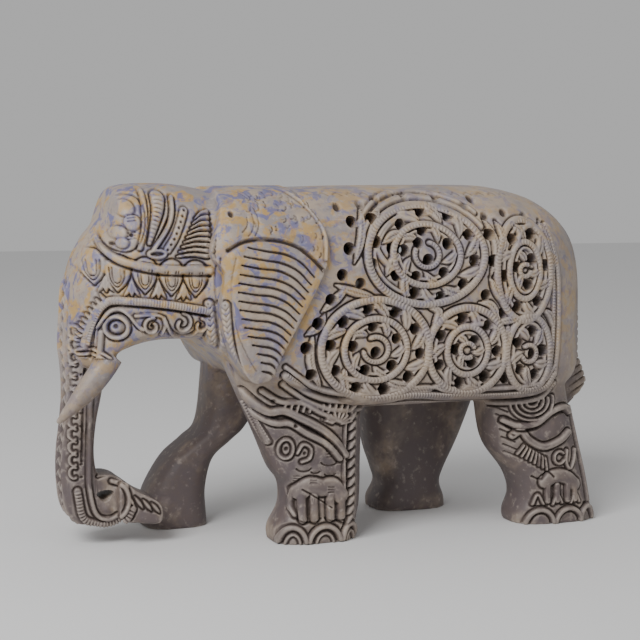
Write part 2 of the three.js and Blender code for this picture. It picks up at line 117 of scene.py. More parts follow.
earEdge = [(-62, 116), (-66.5, 124), (-61, 141), (-55.5, 156), (-31, 156), (-23.5, 142.5), (-17.4, 130),
           (-18.2, 119.8), (-23, 108.4), (-38.3, 80.9), (-42, 73), (-47.3, 70.6), (-52.4, 72.4),
           (-60.4, 86.5), (-63.4, 101)]
legs = {
    "outer": 38, "inner": 9.5, "squareness": 2.9,
    # z, front x, back x
    "nearFore": [(0, -37, 0), (6, -37.1, 0.5), (15, -32.3, 2.1), (25, -32.6, 2.6), (32, -37.4, 2.8),
                 (47, -43.7, 3.3), (77, -57, 3)],
    "farFore": [(0, -81.8, -52.6), (8, -82.5, -53.2), (17, -80.2, -53.4), (30, -72, -50), (38, -62.5,
                                                            -41),
                (46, -55.5, -33), (74, -52.6, -16)],
    "nearHind": [(0, 76.2, 117.2), (5, 76, 116.4), (13, 78.9, 114.2), (23, 75.4, 111.9), (36, 65.5,
                                                            108.5),
                 (50, 61.9, 104.7), (72, 60, 100)],
    "farHind": [(0, 28, 64.5), (5, 28, 64), (12, 31.8, 61.6), (19, 29.8, 64.1), (36, 24.5, 73.1), (72,
                                                            22, 88)],
}
tusks = {
    "near": {"route": [(-104, -23, 82), (-115, -25.5, 67), (-127.6, -25.5, 55.4)],
             "radii": [5, 5.2, 4.9, 4, 2.6, 1]},
    "far": {"route": [(-104, 23, 82), (-110, 24, 73), (-114.5, 23.5, 66)], "radii": [5, 4.8, 3.8, 1.6]},
    "sides": 16,
}
curl = {"middle": (-104.6, 19), "radius": 11, "half": 9,
        "leaf": [(-99, 27), (-91, 22.5), (-82, 17), (-82, 9), (-91, 9.5), (-99, 12)],
        "eye": [(-108.6, 22.2), (-104.8, 19), (-101, 22.6), (-104.8, 23.6)]}
tail = {"half": 4,
        "line": [(108, 137), (114.5, 130), (119.4, 118), (122.6, 104), (123.4, 86), (123.4, 72)],
        "tuft": [(125.4, 67.7), (128.5, 58.9), (123.9, 52.9), (117, 47), (104, 50)]}


def halfWidth(stations, roll, x, z):
    table = np.array(stations, float)
    half, top, bottom = (np.interp(x, table[:, 0], table[:, column]) for column in (1, 2, 3))
    upper = np.minimum(roll, (top - bottom) / 2)
    rise = (z - top + upper) / upper
    drop = (bottom + form["keelRoll"] - z) / form["keelRoll"]
    off = np.clip(np.maximum(rise, drop), 0, 0.985)
    return half * (1 - off ** form["fullness"]) ** (1 / form["fullness"])


def flank(x, z):
    return halfWidth(form["body"], form["shoulderRoll"], x, z)


def cheek(x, z):
    return halfWidth(form["head"], form["templeRoll"], x, z)


def legFace(name):
    table = np.array(legs[name], float)

    def face(x, z):
        front, back = (np.interp(z, table[:, 0], table[:, column]) for column in (1, 2))
        off = np.clip(np.abs(x - (front + back) / 2) / ((back - front) / 2), 0, 0.98)
        middle = (legs["inner"] + legs["outer"]) / 2
        return middle + (legs["outer"] - middle) * (1 - off ** legs["squareness"]) ** (1 / legs["squareness"])

    return face


def sectionRing(station, roll, upperSteps=12, lowerSteps=5):
    x, half, top, bottom = station
    keel = form["keelRoll"]
    upper = min(roll, (top - bottom) / 2)
    power = 2 / form["fullness"]

    def corner(steps, level, height):
        angles = [math.pi / 2 * i / steps for i in range(steps + 1)]
        return [(half * max(math.cos(a), 0) ** power,
                 level + height * math.sin(a) ** power) for a in angles]

    side = corner(lowerSteps, bottom + keel, -keel)[::-1] + corner(upperSteps, top - upper, upper)
    return [Vector((x, -y, z)) for y, z in side] + [Vector((x, y, z)) for y, z in side[-2:0:-1]]


def softBox(frontX, backX, innerY, outerY, z, sides, exponent):
    ring = []
    for i in range(sides):
        angle = 2 * math.pi * i / sides
        across, along = math.cos(angle), math.sin(angle)
        ring.append(Vector((
            (frontX + backX) / 2 + (backX - frontX) / 2 * math.copysign(abs(across) ** (2 / exponent),
                                                            across),
            (innerY + outerY) / 2 + (outerY - innerY) / 2 * math.copysign(abs(along) ** (2 / exponent),
                                                            along),
            z)))
    return ring


def loft(rings):
    bm = bmesh.new()
    loops = []
    for index, ring in enumerate(rings):
        capped = index in (0, len(rings) - 1)
        made = bmesh.ops.create_circle(bm, segments=len(ring), radius=1, cap_ends=capped)["verts"]
        for vert, place in zip(made, ring):
            vert.co = place
        loops.append(set(made))
    for one, other in zip(loops, loops[1:]):
        edges = {e for v in one for e in v.link_edges if e.other_vert(v) in one and len(e.link_faces) < 2}
        edges |= {e for v in other for e in v.link_edges if e.other_vert(v) in other and len(e.link_faces) < 2}
        bmesh.ops.bridge_loops(bm, edges=list(edges))
    bmesh.ops.remove_doubles(bm, verts=bm.verts, dist=1e-4)
    bmesh.ops.recalc_face_normals(bm, faces=bm.faces)
    return bm


def slab(outline, low, high):
    bm = bmesh.new()
    face = bm.faces.new([bm.verts.new((x, low, z)) for x, z in outline])
    made = bmesh.ops.extrude_face_region(bm, geom=[face])["geom"]
    moved = [v for v in made if isinstance(v, bmesh.types.BMVert)]
    bmesh.ops.translate(bm, verts=moved, vec=(0, high - low, 0))
    if not face.is_valid or len(bm.faces) < len(outline) + 2:
        bm.faces.new([v for v in bm.verts if v not in moved])
    bmesh.ops.recalc_face_normals(bm, faces=bm.faces)
    return bm


def mirrored(bm):
    twin = bm.copy()
    bmesh.ops.scale(twin, verts=twin.verts, vec=(1, -1, 1))
    bmesh.ops.reverse_faces(twin, faces=twin.faces)
    return twin


def asObject(name, parts):
    mesh = bpy.data.meshes.new(name)
    whole = bmesh.new()
    for bm in parts:
        bm.to_mesh(mesh)
        whole.from_mesh(mesh)
        bm.free()
    whole.to_mesh(mesh)
    whole.free()
    made = bpy.data.objects.new(name, mesh)
    bpy.context.collection.objects.link(made)
    return made


# Applies a stack of modifiers given as (kind, settings) and leaves a plain mesh.
def worked(piece, *stack):
    for kind, settings in stack:
        modifier = piece.modifiers.new(kind, kind)
        for name, value in settings.items():
            setattr(modifier, name, value)
    graph = bpy.context.evaluated_depsgraph_get()
    mesh = bpy.data.meshes.new_from_object(piece.evaluated_get(graph))
    piece.modifiers.clear()
    old = piece.data
    piece.data = mesh
    bpy.data.meshes.remove(old)
    return piece


def discard(piece):
    mesh = piece.data
    bpy.data.objects.remove(piece)
    bpy.data.meshes.remove(mesh)


def roundedForm(stations, roll, perSpan=4):
    return loft([sectionRing(row, roll) for row in throughPoints(stations, perSpan)])


def legForm(stations):
    rows = throughPoints(stations, 5)
    return loft([softBox(front, back, -legs["inner"], -legs["outer"], z, 28, legs["squareness"])
                 for z, front, back in rows])


def trunkForm():
    rows = throughPoints(form["trunk"], 4)
    return loft([softBox(front, back, -half, half, z, 24, 3.4) for z, front, back, half in rows])


def tuskForm(name):
    a, b, c = (Vector(place) for place in tusks[name]["route"])
    radii, sides = tusks[name]["radii"], tusks["sides"]
    rings = []
    count = 18
    for i in range(count + 1):
        t = i / count
        middle = a * (1 - t) ** 2 + b * 2 * t * (1 - t) + c * t ** 2
        forward = ((b - a) * (1 - t) + (c - b) * t).normalized()
        across = Vector((0, 1, 0))
        up = forward.cross(across).normalized()
        radius = float(np.interp(t, np.linspace(0, 1, len(radii)), radii))
        rings.append([middle + across * radius * math.cos(s) + up * radius * math.sin(s)
                      for s in (2 * math.pi * k / sides for k in range(sides))])
    return loft(rings)


def earForms():
    pieces = []
    for side in (near, far):
        low, high = (8, 60) if side == far else (-60, -8)
        cutter = asObject("earCutter", [slab(flowing(earEdge, 1.5, True)[:-1], low, high)])
        ear = asObject("ear", [roundedForm(form["ear"], form["shoulderRoll"])])
        worked(ear, ("BOOLEAN", {"object": cutter, "operation": "INTERSECT", "solver": "MANIFOLD"}))
        discard(cutter)
        pieces.append(ear)
    return pieces


def blank():
    nearLegs = [legForm(legs[name]) for name in ("nearFore", "nearHind")]
    farLegs = [mirrored(legForm(legs[name])) for name in ("farFore", "farHind")]
    line = throughPoints(tail["line"], 5)
    tailShape = slab([*line, *tail["tuft"], (104, 100), (104, 130)], -tail["half"], tail["half"])
    disc = slab(arc(curl["middle"], curl["radius"], curl["radius"], 0, 360, 1.5)[:-1], -curl["half"],
                curl["half"])
    leaf = slab(flowing(curl["leaf"], 1.5, True)[:-1], -15, 4)
    parts = [roundedForm(form["body"], form["shoulderRoll"]), roundedForm(form["head"],
                                                            form["templeRoll"]),
             trunkForm(), *nearLegs, *farLegs, tailShape, disc, leaf, tuskForm("near"), tuskForm("far")]
    for ear in earForms():
        bm = bmesh.new()
        bm.from_mesh(ear.data)
        discard(ear)
        parts.append(bm)
    return asObject("elephant_carving", parts)


# ---- relief ----
# Heights over a side face on a grid in x and z, worked in stroke by stroke, in millimetres.
class Relief:
    def __init__(self, low, high, cell):
        self.low, self.cell = np.array(low, float), cell
        shape = [int((b - a) / cell) + 1 for a, b in zip(low, high)]
        self.raised, self.moat, self.cut = (np.zeros(shape) for _ in range(3))

    # distance from a path, signed side, length along it and its whole length, close to the path
    def around(self, path, reach):
        path = np.asarray(path, float)
        shape = np.array(self.raised.shape)
        start = np.clip(((path.min(0) - reach - self.low) / self.cell).astype(int), 0, shape - 1)
        stop = np.clip(((path.max(0) + reach - self.low) / self.cell).astype(int) + 2, 1, shape)
        window = (slice(start[0], stop[0]), slice(start[1], stop[1]))
        x = self.low[0] + self.cell * np.arange(start[0], stop[0])[:, None]
        z = self.low[1] + self.cell * np.arange(start[1], stop[1])[None, :]
        x, z = np.broadcast_arrays(x, z)
        off, side, along = np.full(x.shape, 99.0), np.zeros(x.shape), np.zeros(x.shape)
        total = 0
        for a, b in zip(path[:-1], path[1:]):
            run = b - a
            length = max(math.hypot(*run), 1e-6)
            low = np.maximum(((np.minimum(a, b) - reach - self.low) / self.cell).astype(int) - start, 0)
            high = np.maximum(((np.maximum(a,
                                           b) + reach - self.low) / self.cell).astype(int) - start + 2, 0)
            part = (slice(low[0], high[0]), slice(low[1], high[1]))
            dx, dz = x[part] - a[0], z[part] - a[1]
            share = np.clip((dx * run[0] + dz * run[1]) / length ** 2, 0, 1)
            gap = np.hypot(dx - share * run[0], dz - share * run[1])
            closer = gap < off[part]
            turned = np.sign(run[0] * dz - run[1] * dx) * gap
            off[part] = np.where(closer, gap, off[part])
            side[part] = np.where(closer, turned, side[part])
            along[part] = np.where(closer, total + share * length, along[part])
            total += length
        return window, off, side, along, total

    def band(self, path, width, rise, moat=0, taper=None, crease=0, ribs=0, slant=0.4, deep=0.5):
        window, off, side, along, total = self.around(path, width / 2 + 1.8)
        half = width / 2 * (taper(along / total) if taper else np.ones(off.shape))
        half = np.maximum(half, 0.05)
        body = np.clip(1 - (off / half) ** 2.4, 0, 1) ** 0.55
        height = rise * body * np.minimum(1, half / (width / 2) + 0.25)
        if crease:
            height = height - crease * np.exp(-(side / 0.4) ** 2) * body
        if ribs:
            phase = 0.5 + 0.5 * np.cos(2 * math.pi * (along + slant * np.abs(side)) / ribs)
            height = height * (1 - deep * phase ** 3)
        self.raised[window] = np.maximum(self.raised[window], height)
        if moat:
            ditch = moat * np.exp(-((off - half - 0.45) / 0.5) ** 2)
            self.moat[window] = np.maximum(self.moat[window], ditch)

    def groove(self, path, width, depth, taper=None):
        window, off, _, along, total = self.around(path, width / 2 + 0.5)
        half = np.maximum(width / 2 * (taper(along / total) if taper else np.ones(off.shape)), 0.05)
        self.cut[window] = np.maximum(self.cut[window], depth * np.clip(1 - (off / half) ** 2, 0, 1))

    def hatch(self, path, width, pitch, depth, slant=0.0):
        window, off, side, along, _ = self.around(path, width / 2 + 0.5)
        lines = np.clip(np.cos(2 * math.pi * (along + slant * side) / pitch), 0, 1) ** 4
        self.cut[window] = np.maximum(self.cut[window], depth * lines * (off < width / 2))

    def dent(self, spot, radius, depth):
        self.groove([spot, (spot[0] + 0.02, spot[1])], 2 * radius, depth)

    def sample(self, layer, x, z):
        u, v = (x - self.low[0]) / self.cell, (z - self.low[1]) / self.cell
        u, v = np.clip(u, 0, layer.shape[0] - 1.001), np.clip(v, 0, layer.shape[1] - 1.001)
        i, j = u.astype(int), v.astype(int)
        s, t = u - i, v - j
        return ((layer[i, j] * (1 - s) + layer[i + 1, j] * s) * (1 - t)
                + (layer[i, j + 1] * (1 - s) + layer[i + 1, j + 1] * s) * t)

    def height(self, x, z):
        raised = self.sample(self.raised, x, z)
        moat = self.sample(self.moat, x, z) * np.clip(1 - raised / 0.6, 0, 1)
        return raised - moat - self.sample(self.cut, x, z)

    # painted shade: darkening laid into the moats and cut recesses of the relief, where shade falls
    def darkness(self, x, z):
        raised = self.sample(self.raised, x, z)
        moat = self.sample(self.moat, x, z) * np.clip(1 - raised / 0.6, 0, 1)
        return np.clip(moat * 0.75 + self.sample(self.cut, x, z) * 0.85, 0, 1)


def leafShape(share):
    return np.sin(math.pi * np.clip(share, 0.02, 0.98)) ** 0.7


def tapered(share):
    return 1 - 0.75 * share


# The lattice of one flank: scrolls in medallions round rings of drilled holes.
lattice = {
    "drillRadius": 2.65, "drillSides": 18, "bandRise": 1.55, "ribPitch": 1.55,
    "medallions": [
        {"middle": (27.5, 122), "bands": [(27, 21), (15.5, 13)], "core": 5.6, "join": 150,
         "rings": [(19.3, 18.2, 10, 99, 3), (11, 10.5, 5, 97, 0)], "eyes": [(28, 119.8), (23.8, 127)]},
        {"middle": (4, 82.5), "bands": [(24.5, 21), (14.2, 13)], "core": 5.6, "join": 190,
         "rings": [(20.5, 17.5, 10, 100, 0), (10.5, 10, 5, 98, 0)], "eyes": [(4, 81.3)]},
        {"middle": (46.5, 80.5), "bands": [(18.5, 18.5), (9.6, 10.4)], "core": 3.4, "join": 20,
         "rings": [(14.2, 14.4, 7, 100, 0), (5.4, 5.4, 3, 172, 0)], "eyes": []},
        {"middle": (74.5, 114.5), "bands": [(14, 22), (8, 12.4)], "core": 2.8, "join": 60,
         "rings": [(10.6, 17, 6, 127, 0), (4.6, 6.5, 3, 166, 0)], "eyes": []},
        {"middle": (77, 78), "bands": [(11.5, 16.5)], "core": 3.9, "join": 200,
         "rings": [(7, 10, 5, 150, 0)], "eyes": [(78.5, 77.8)]},
    ],
    "earColumn": [(-4.8, 136), (-10.7, 115), (-21.5, 94.8), (-27, 84.5), (-24.9, 73.1)],
    "secondColumn": [(4.6, 137.2), (4.3, 128), (1.8, 118.6), (-3, 110.5)],
    "gaps": [(57.5, 130.2), (58.8, 119), (55, 104.3), (63.2, 96.2), (64.8, 67.8)],
    "border": [(-36, 73), (-30, 68.6), (-24, 64.6), (-13, 61), (4, 60.2), (20, 62.3), (40, 60.8), (66,
                                                            59.8),
               (84, 61.5), (91, 68)],
    "rear": [(91.5, 68), (93.4, 85), (93, 112), (88.5, 134)],
}


def ringSpots(middle, ring, turned=0.0):
    rx, rz, count, fromAngle, shift = ring
    angles = [math.radians(fromAngle + 360 * (i + turned) / count) for i in range(count)]
    return [(middle[0] + shift + rx * math.cos(a), middle[1] + rz * math.sin(a)) for a in angles]


def latticeHoles(full):
    spots = []
    ear, second = throughPoints(lattice["earColumn"]), throughPoints(lattice["secondColumn"])
    length = lambda line: np.hypot(*np.diff(line, axis=0).T).sum()
    spots += [tuple(p) for p in evenly(ear, length(ear) / (6 if full else 4))]
    if full:
        spots += [tuple(p) for p in evenly(second, length(second) / 3)] + lattice["gaps"]
    for one in lattice["medallions"]:
        for ring in one["rings"][:2 if full else 1]:
            fewer = 0 if full else 3
            spots += ringSpots(one["middle"], (ring[0], ring[1], ring[2] - fewer, ring[3], ring[4]))
        spots += one["eyes"][:None if full else 1]
    return spots


# Ribbed bands: laid smooth into the relief, and kept for the ribbed ribbons that cover them.
ribbons = {near: [], far: []}


def ribbed(relief, side, path, width, rise, face, pitch=None, slant=0.5, moat=1.3):
    relief.band(path, width * 0.94, rise - 0.35, moat)
    ribbons[side].append({"path": path, "width": width, "rise": rise, "face": face, "slant": slant,
                          "pitch": pitch or lattice["ribPitch"]})


def medallionRelief(relief, side, one, full):
    cx, cz = one["middle"]
    rise = lattice["bandRise"]
    outer = one["bands"][0]
    ribbed(relief, side, arc((cx, cz), *outer), 3.1, rise, flank)
    relief.band(arc((cx, cz), outer[0] - 3.1, outer[1] - 3.1), 1.5, rise * 0.55, 0.5)
    if not full:
        relief.band(spiral((cx, cz), (outer[0] - 9, outer[1] - 9), (2, 2), one["join"], 400), 2.2, 1,
                    0.7)
        return
    if len(one["bands"]) > 1:
        inner = one["bands"][1]
        ribbed(relief, side, arc((cx, cz), *inner), 2.6, rise - 0.1, flank)
        relief.band(arc((cx, cz), inner[0] - 2.6, inner[1] - 2.6), 1.3, rise * 0.5, 0.4)
        link = spiral((cx, cz), outer, inner, one["join"], 62)
        relief.band(link, 2.4, rise * 0.8, 0.8)
    core = one["core"]
    ribbed(relief, side, arc((cx, cz), core, core * 0.95, one["join"], 285), 1.9, 1.15, flank, 1.3)
    # leaves that swirl between the holes of each ring
    for level, ring in enumerate(one["rings"]):
        rx, rz, count, fromAngle, shift = ring
        spread, swirl = (4.1, 26) if level == 0 else (3.2, 34)
        for i in range(count):
            start = math.radians(fromAngle + 360 * (i + 0.5) / count - swirl / 2)
            end = start + math.radians(swirl)
            middle = (start + end) / 2
            blade = [(cx + shift + (rx - spread) * math.cos(start),
                      cz + (rz - spread) * math.sin(start)),
                     (cx + shift + rx * math.cos(middle), cz + rz * math.sin(middle)),
                     (cx + shift + (rx + spread) * math.cos(end), cz + (rz + spread) * math.sin(end))]
            path = flowing(blade, 0.7)
            relief.band(path, 4.2 - level, 1.15, 0.9, leafShape, 0.55)
            if (i + level) % 2:
                relief.hatch(path, 3.0 - level, 1.25, 0.4, 0.8)


def flankRelief(relief, side, full):
    for one in lattice["medallions"]:
        medallionRelief(relief, side, one, full)
    border = flowing(lattice["border"])
    ribbed(relief, side, border, 3.0, 1.7, flank, 1.3, 0.2, 1.6)
    ribbed(relief, side, border + (0.5, -4.1), 2.4, 1.2, flank, 1.3, 0.2, 1.2)
    relief.band(border + (0, 3.6), 1.8, 1.1, 0.9)
    rear = flowing(lattice["rear"])
    ribbed(relief, side, rear, 2.3, 1.4, flank, 1.5, 0, 1)
    ribbed(relief, side, rear + (-3.1, 0), 1.9, 1.0, flank, 1.3, 0.6, 0.8)
    if not full:
        return
    # double arcs that carry the upper scroll over the shoulder
    cx, cz = lattice["medallions"][0]["middle"]
    relief.band(arc((cx, cz), 30.4, 24.3, 28, 132), 2.0, 1.3, 1)
    relief.band(arc((cx, cz), 33.6, 27.4, 40, 112), 1.6, 1, 0.8)
    relief.band(arc((cx, cz), 22.4, 17.4, 20, 150), 1.3, 0.8, 0.5)
    # leaves in the ground between the medallions
    blades = [[(-20, 99), (-14, 104), (-8.5, 109)], [(-27, 89.5), (-21.5, 93), (-18.5, 98)],
              [(-14, 110), (-6, 107), (4, 104.5)], [(-20, 66), (-25, 78), (-24, 90)],
              [(28, 99.5), (33, 97.5), (30, 90)], [(24, 97), (27.5, 88), (27.5, 78)],
              [(30, 66), (34, 65), (42, 62.8)], [(14, 63.6), (25, 64.5), (31, 63.8)],
              [(52, 101), (58, 99.5), (62, 91)], [(56.5, 137), (60.5, 125), (57.5, 112)],
              [(62, 136), (64, 128), (61.5, 120)], [(57, 112), (60, 106), (66, 97.5)],
              [(60, 92), (66, 93), (72, 93.5)], [(66, 92), (65, 84), (64.6, 74)],
              [(1, 142), (-1.5, 130), (-5.5, 119)], [(10, 143), (4, 133), (-1, 122)],
              [(84, 97), (88.5, 94), (90.5, 88)], [(86, 136), (89, 125), (90.5, 112)]]
    for blade in blades:
        path = flowing(blade, 0.7)
        relief.band(path, 3.6, 1.3, 1.1, leafShape, 0.4)
        relief.hatch(path, 2.7, 1.35, 0.38, 0.7)
    # shallow drilled dents over the shoulder
    for spot in [(-9.4, 142.2), (1.3, 143.4), (9.3, 145.5), (22.9, 146.3), (37.2, 145.4), (48.9, 142),
                 (54.6, 145.4),
                 (57.5, 138.1), (67.2, 139.4), (77.8, 138)]:
        relief.dent(spot, 2.1, 1.7)
    for i in range(16):
        relief.groove(flowing([(-14 + 6.1 * i, 147.4), (-12 + 6.1 * i, 148.2), (-10.4 + 6.1 * i, 147.2)],
                              0.5), 0.9, 0.4)


ear = {"ribs": 15, "capTop": [(-61, 125.4), (-55.2, 128.5), (-48.8, 129.7), (-42.9, 129.6), (-37.3,
                                                            128.7),
                              (-31.7, 126.6), (-26.5, 122.8), (-20.4, 116.6)],
       "front": [(-57.6, 122), (-59.2, 115), (-59.6, 107), (-58.8, 99), (-57, 91), (-53.6, 83), (-49.6,
                                                            76)]}


def earRelief(relief, full):
    # the ground of the fan drops below the smooth cap, with a dark undercut at the cap's edge
    top = flowing(ear["capTop"])
    relief.groove(top + (0.3, -0.4), 2.2, 1.9)
    count = ear["ribs"] if full else 10
    for i in range(count):
        share = i / (count - 1)
        start = (-52.4 - 6.6 * math.sin(math.pi * min(share * 1.12, 1)) ** 0.8 + 5.4 * share,
                 126.2 - 50.5 * share)
        end = (-24.2 - 17.2 * share ** 0.92, 113.4 - 41.2 * share)
        fall = start[1] - end[1]
        at = lambda t, drop: (start[0] + (end[0] - start[0]) * t, start[1] - fall * drop)
        wave = 0.5 * math.sin(i * 2.3)
        path = flowing([start, at(0.28, 0.13), at(0.56, 0.24 + 0.03 * wave), at(0.8, 0.52), end], 0.7)
        relief.groove(path, 1.5, 1.25, lambda t: 0.45 + 0.55 * np.sin(math.pi * np.clip(t * 0.9 + 0.06,
                                                            0, 1)))
    relief.groove(flowing(ear["front"]), 1.0, 0.35)
    # a thin raised rim along the back edge
    rim = [(-29.5, 149.5), (-24.6, 144), (-20.2, 136.5), (-18.6, 129), (-19.2, 121)]
    relief.band(flowing(rim), 1.5, 0.7, 0.3)
    if not full:
        return
    middle = (-57.5, 138)
    relief.dent((-57.2, 139.6), 1.5, 1.6)
    for radius, fromAngle in ((6.6, -58), (9.2, -52), (11.2, -40)):
        relief.groove(arc(middle, radius, radius, fromAngle, 62, 0.5), 0.8, 0.45)
    for radius in (5.4, 7.0):
        relief.groove(arc((-53, 144), radius, radius * 0.9, -30, 110, 0.5), 0.6, 0.3)
    # small crescent nicks over the back of the cap
    chance = np.random.default_rng(7)
    for i in range(70):
        x, z = chance.uniform(-50, -20), chance.uniform(121, 149)
        inside = z > np.interp(x, [-50, -43, -34, -26, -20], [132, 132, 130.5, 126,
                                                            120]) and x < -22 + (144 - z) * 0.1
        if inside:
            size = chance.uniform(0.9, 1.6)
            relief.groove(arc((x, z), size, size, chance.uniform(-120, -40), 110, 0.4), 0.9,
                          chance.uniform(0.25, 0.5))


def headRelief(relief, side, full):
    strap = flowing([(-109.5, 136), (-109.4, 132.2), (-108.6, 127.9), (-106.4, 124.5), (-102.8, 121.8),
                     (-97.8, 119.8),
                     (-90.6, 118.1), (-82.4, 117.1), (-65.8, 116.6)])
    jaw = flowing([(-114.6, 86.5), (-113.6, 91.5), (-112.2, 96.1), (-110.2, 100.7), (-107.6, 103.6),
                   (-104.4, 104.9),
                   (-94.7, 104.4), (-82.5, 102.9), (-66.8, 100.1)])
    relief.band(strap, 3.0, 1.5)
    relief.groove(strap + (0, -2.3), 1.5, 1.5)
    relief.groove(strap + (0, 2.1), 0.8, 0.5)
    ribbed(relief, side, jaw, 3.0, 1.5, cheek, 1.15, 0, 0.5)
    relief.groove(jaw + (0.7, -2.3), 1.5, 1.5)
    eye = (-103.4, 94)
    relief.band(arc(eye, 4.3, 4.3), 1.7, 1.5, 0.9)
    relief.band([eye, (eye[0] + 0.02, eye[1])], 4.2, 1.5)
    relief.dent((eye[0] - 0.2, eye[1] + 0.6), 1.3, 1.5)
    if not full:
        return
    lid = flowing([(-110.6, 92.5), (-107.7, 96.4), (-105.5, 99), (-102.6, 100), (-99.6, 98.2), (-95.7,
                                                            93.4),
                   (-93.2, 91.6)])
    relief.groove(lid, 1.1, 1.1, leafShape)
    relief.band(lid + (0, 1.5), 1.5, 0.8)
    # three wave curls behind the eye
    for x, z, size, turn in ((-89.6, 94.2, 3.7, 330), (-77.2, 95, 4.4, -300), (-69.4, 94, 3.0, -290)):
        relief.band(spiral((x, z), (size, size), (1.3, 1.3), 80, turn, 0.5), 1.25, 1.2, 0.8)
        relief.dent((x, z + 0.3), 1.25, 1.3)
    relief.band(flowing([(-84.8, 97.6), (-82, 92), (-77, 89), (-72.6, 89.6), (-70.4, 92.4)]), 1.2, 1.0,
                0.6)
    relief.band(flowing([(-96.2, 98.6), (-90, 98.9), (-85.6, 98), (-84.4, 94), (-85.4, 91)]), 1.1, 0.9,
                0.5)
    # lips above the tusk
    for drop in (0, 2.0, 3.8):
        fold = flowing([(-116.6, 84.4 - drop), (-111.4, 84.6 - drop), (-105.6, 81.2 - drop)])
        relief.band(fold, 1.3, 1.0, 0.8)
    # drooping petals between the straps
    tips = [(-111.2, 111.4), (-102.8, 108.6), (-92.4, 107.8), (-81.6, 106.9), (-71.6, 106.2)]
    for index, (x, z) in enumerate(tips):
        height = 9.6
        relief.band(flowing([(x, z + height), (x + 0.1, z + height / 2), (x, z)]), 9.4, 1.1, 1.1,
                    lambda t: np.clip(1.02 - t ** 2.2, 0.02, 1))
        for inset in (1.5, 3.0):
            arm = 3.9 - inset * 0.75
            vee = [(x - arm, z + height), (x - arm * 0.82, z + height * 0.48), (x, z + inset * 1.1),
                   (x + arm * 0.82, z + height * 0.48), (x + arm, z + height)]
            relief.groove(flowing(vee, 0.5), 0.75, 0.75)
        if index < len(tips) - 1:
            mid = ((x + tips[index + 1][0]) / 2, (z + tips[index + 1][1]) / 2)
            relief.band(flowing([(mid[0], mid[1] + 5.4), (mid[0], mid[1] + 1), (mid[0], mid[1] - 1.6)],
                                0.5), 2.4, 1.2, 0.9,
                        leafShape, 0.4)
            for lean in (-1, 1):
                relief.band(flowing([(mid[0] + lean * 2.9, mid[1] - 1.4), (mid[0] + lean * 1.3,
                                                            mid[1] + 0.9),
                                     (mid[0] + lean * 1.0,
                                      mid[1] + 3.4)], 0.5), 1.5, 0.9, 0.6, leafShape)
    # the spiky row outside the jaw band
    for i in range(9):
        share = i / 8
        root = np.array([-115.6 + 7.6 * share ** 1.4, 90 + 15.5 * share])
        out = np.array([-1.7 + 0.5 * share, 1.1 + 0.6 * share])
        relief.band([root, root + out * 1.15], 1.5, 1.2, 0.8, tapered)
    # dome behind the forehead
    dome = flowing([(-105.6, 139.5), (-103.2, 145.3), (-97.3, 148), (-92.2, 145.3), (-91.6, 135.3),
                    (-94.6, 127.4),
                    (-99.2, 124.4), (-104.6, 125.9), (-107.2, 130.4)], 0.8, True)
    relief.groove(dome, 1.3, 0.9)
    relief.band(flowing([(-90.4, 149.4), (-91.2, 141.3), (-92.2, 133.3), (-94.2, 126.2)]), 2.0, 1.1, 0.6)
    for spot in ((-103.6, 135.3), (-97.4, 131.4), (-104.2, 127.9)):
        relief.dent(spot, 1.1, 1.6)
    for x, z, r in ((-101.6, 132.2, 2.6), (-96.6, 136.4, 3.2), (-100.8, 128.2, 2.2), (-98.6, 142.2,
                                                            3.4)):
        relief.band([(x, z), (x + 0.02, z)], 2 * r, 0.9, 0.5)
    for x, z in ((-98.2, 136.6), (-98.8, 129.6)):
        for i in range(3):
            relief.groove([(x, z + 1.3 * i), (x + 3, z + 0.35 + 1.3 * i)], 0.7, 0.5)
    # ribbed cone beside it, in a curved border
    cone = flowing([(-84.6, 146.6), (-85.8, 141.3), (-87.9, 135.3), (-90.4, 128)])
    relief.band(cone, 5.6, 1.2, 1.1, tapered, 0, 1.7, 0, 0.75)
    border = flowing([(-78.9, 146.3), (-80.3, 139.3), (-82.7, 134.1), (-86, 129.3), (-88.6, 125.6)])
    relief.band(border, 1.7, 1.1, 0.9)
    relief.groove(flowing([(-81.6, 139), (-83.8, 134), (-87.2, 129)]), 2.2, 1.0, leafShape)
    dotted = flowing([(-74.9, 141), (-77.7, 134.6), (-80.1, 129.6), (-83.1, 125.2)])
    relief.band(dotted, 3.0, 0.7, 0.6)
    for x, z in evenly(dotted, 2.6):
        relief.dent((x, z), 0.8, 0.9)
    relief.band(arc((-87.4, 123.6), 3.4, 1.5, 0, 360, 0.5), 1.3, 1.0, 0.6)
    # crescent blades of the temple fan
    for i in range(9):
        share = i / 8
        root = (-65.4 - 1.6 * share, 140.2 - 17.6 * share)
        tip = (-70.6 - 8.4 * share, 137.8 - 15.4 * share)
        bow = ((root[0] + tip[0]) / 2, (root[1] + tip[1]) / 2 + 0.7)
        relief.band(flowing([root, bow, tip], 0.5), 1.75, 1.45, 1.0, tapered)
    # lines that hold the temple to the ear
    relief.groove(flowing([(-63.6, 122), (-64.2, 112), (-63.8, 103)]), 0.9, 0.6)


def collarRelief(relief):
    for shift in (0, 4.4):
        strip = flowing([(-66.4 + shift, 103), (-65 + shift, 88.3), (-62 + shift, 75.8), (-58.6 + shift,
                                                            64)])
        relief.band(strip, 3.2, 1.1, 0.9, None, 0.3, 2.3, 1.2, 0.6)


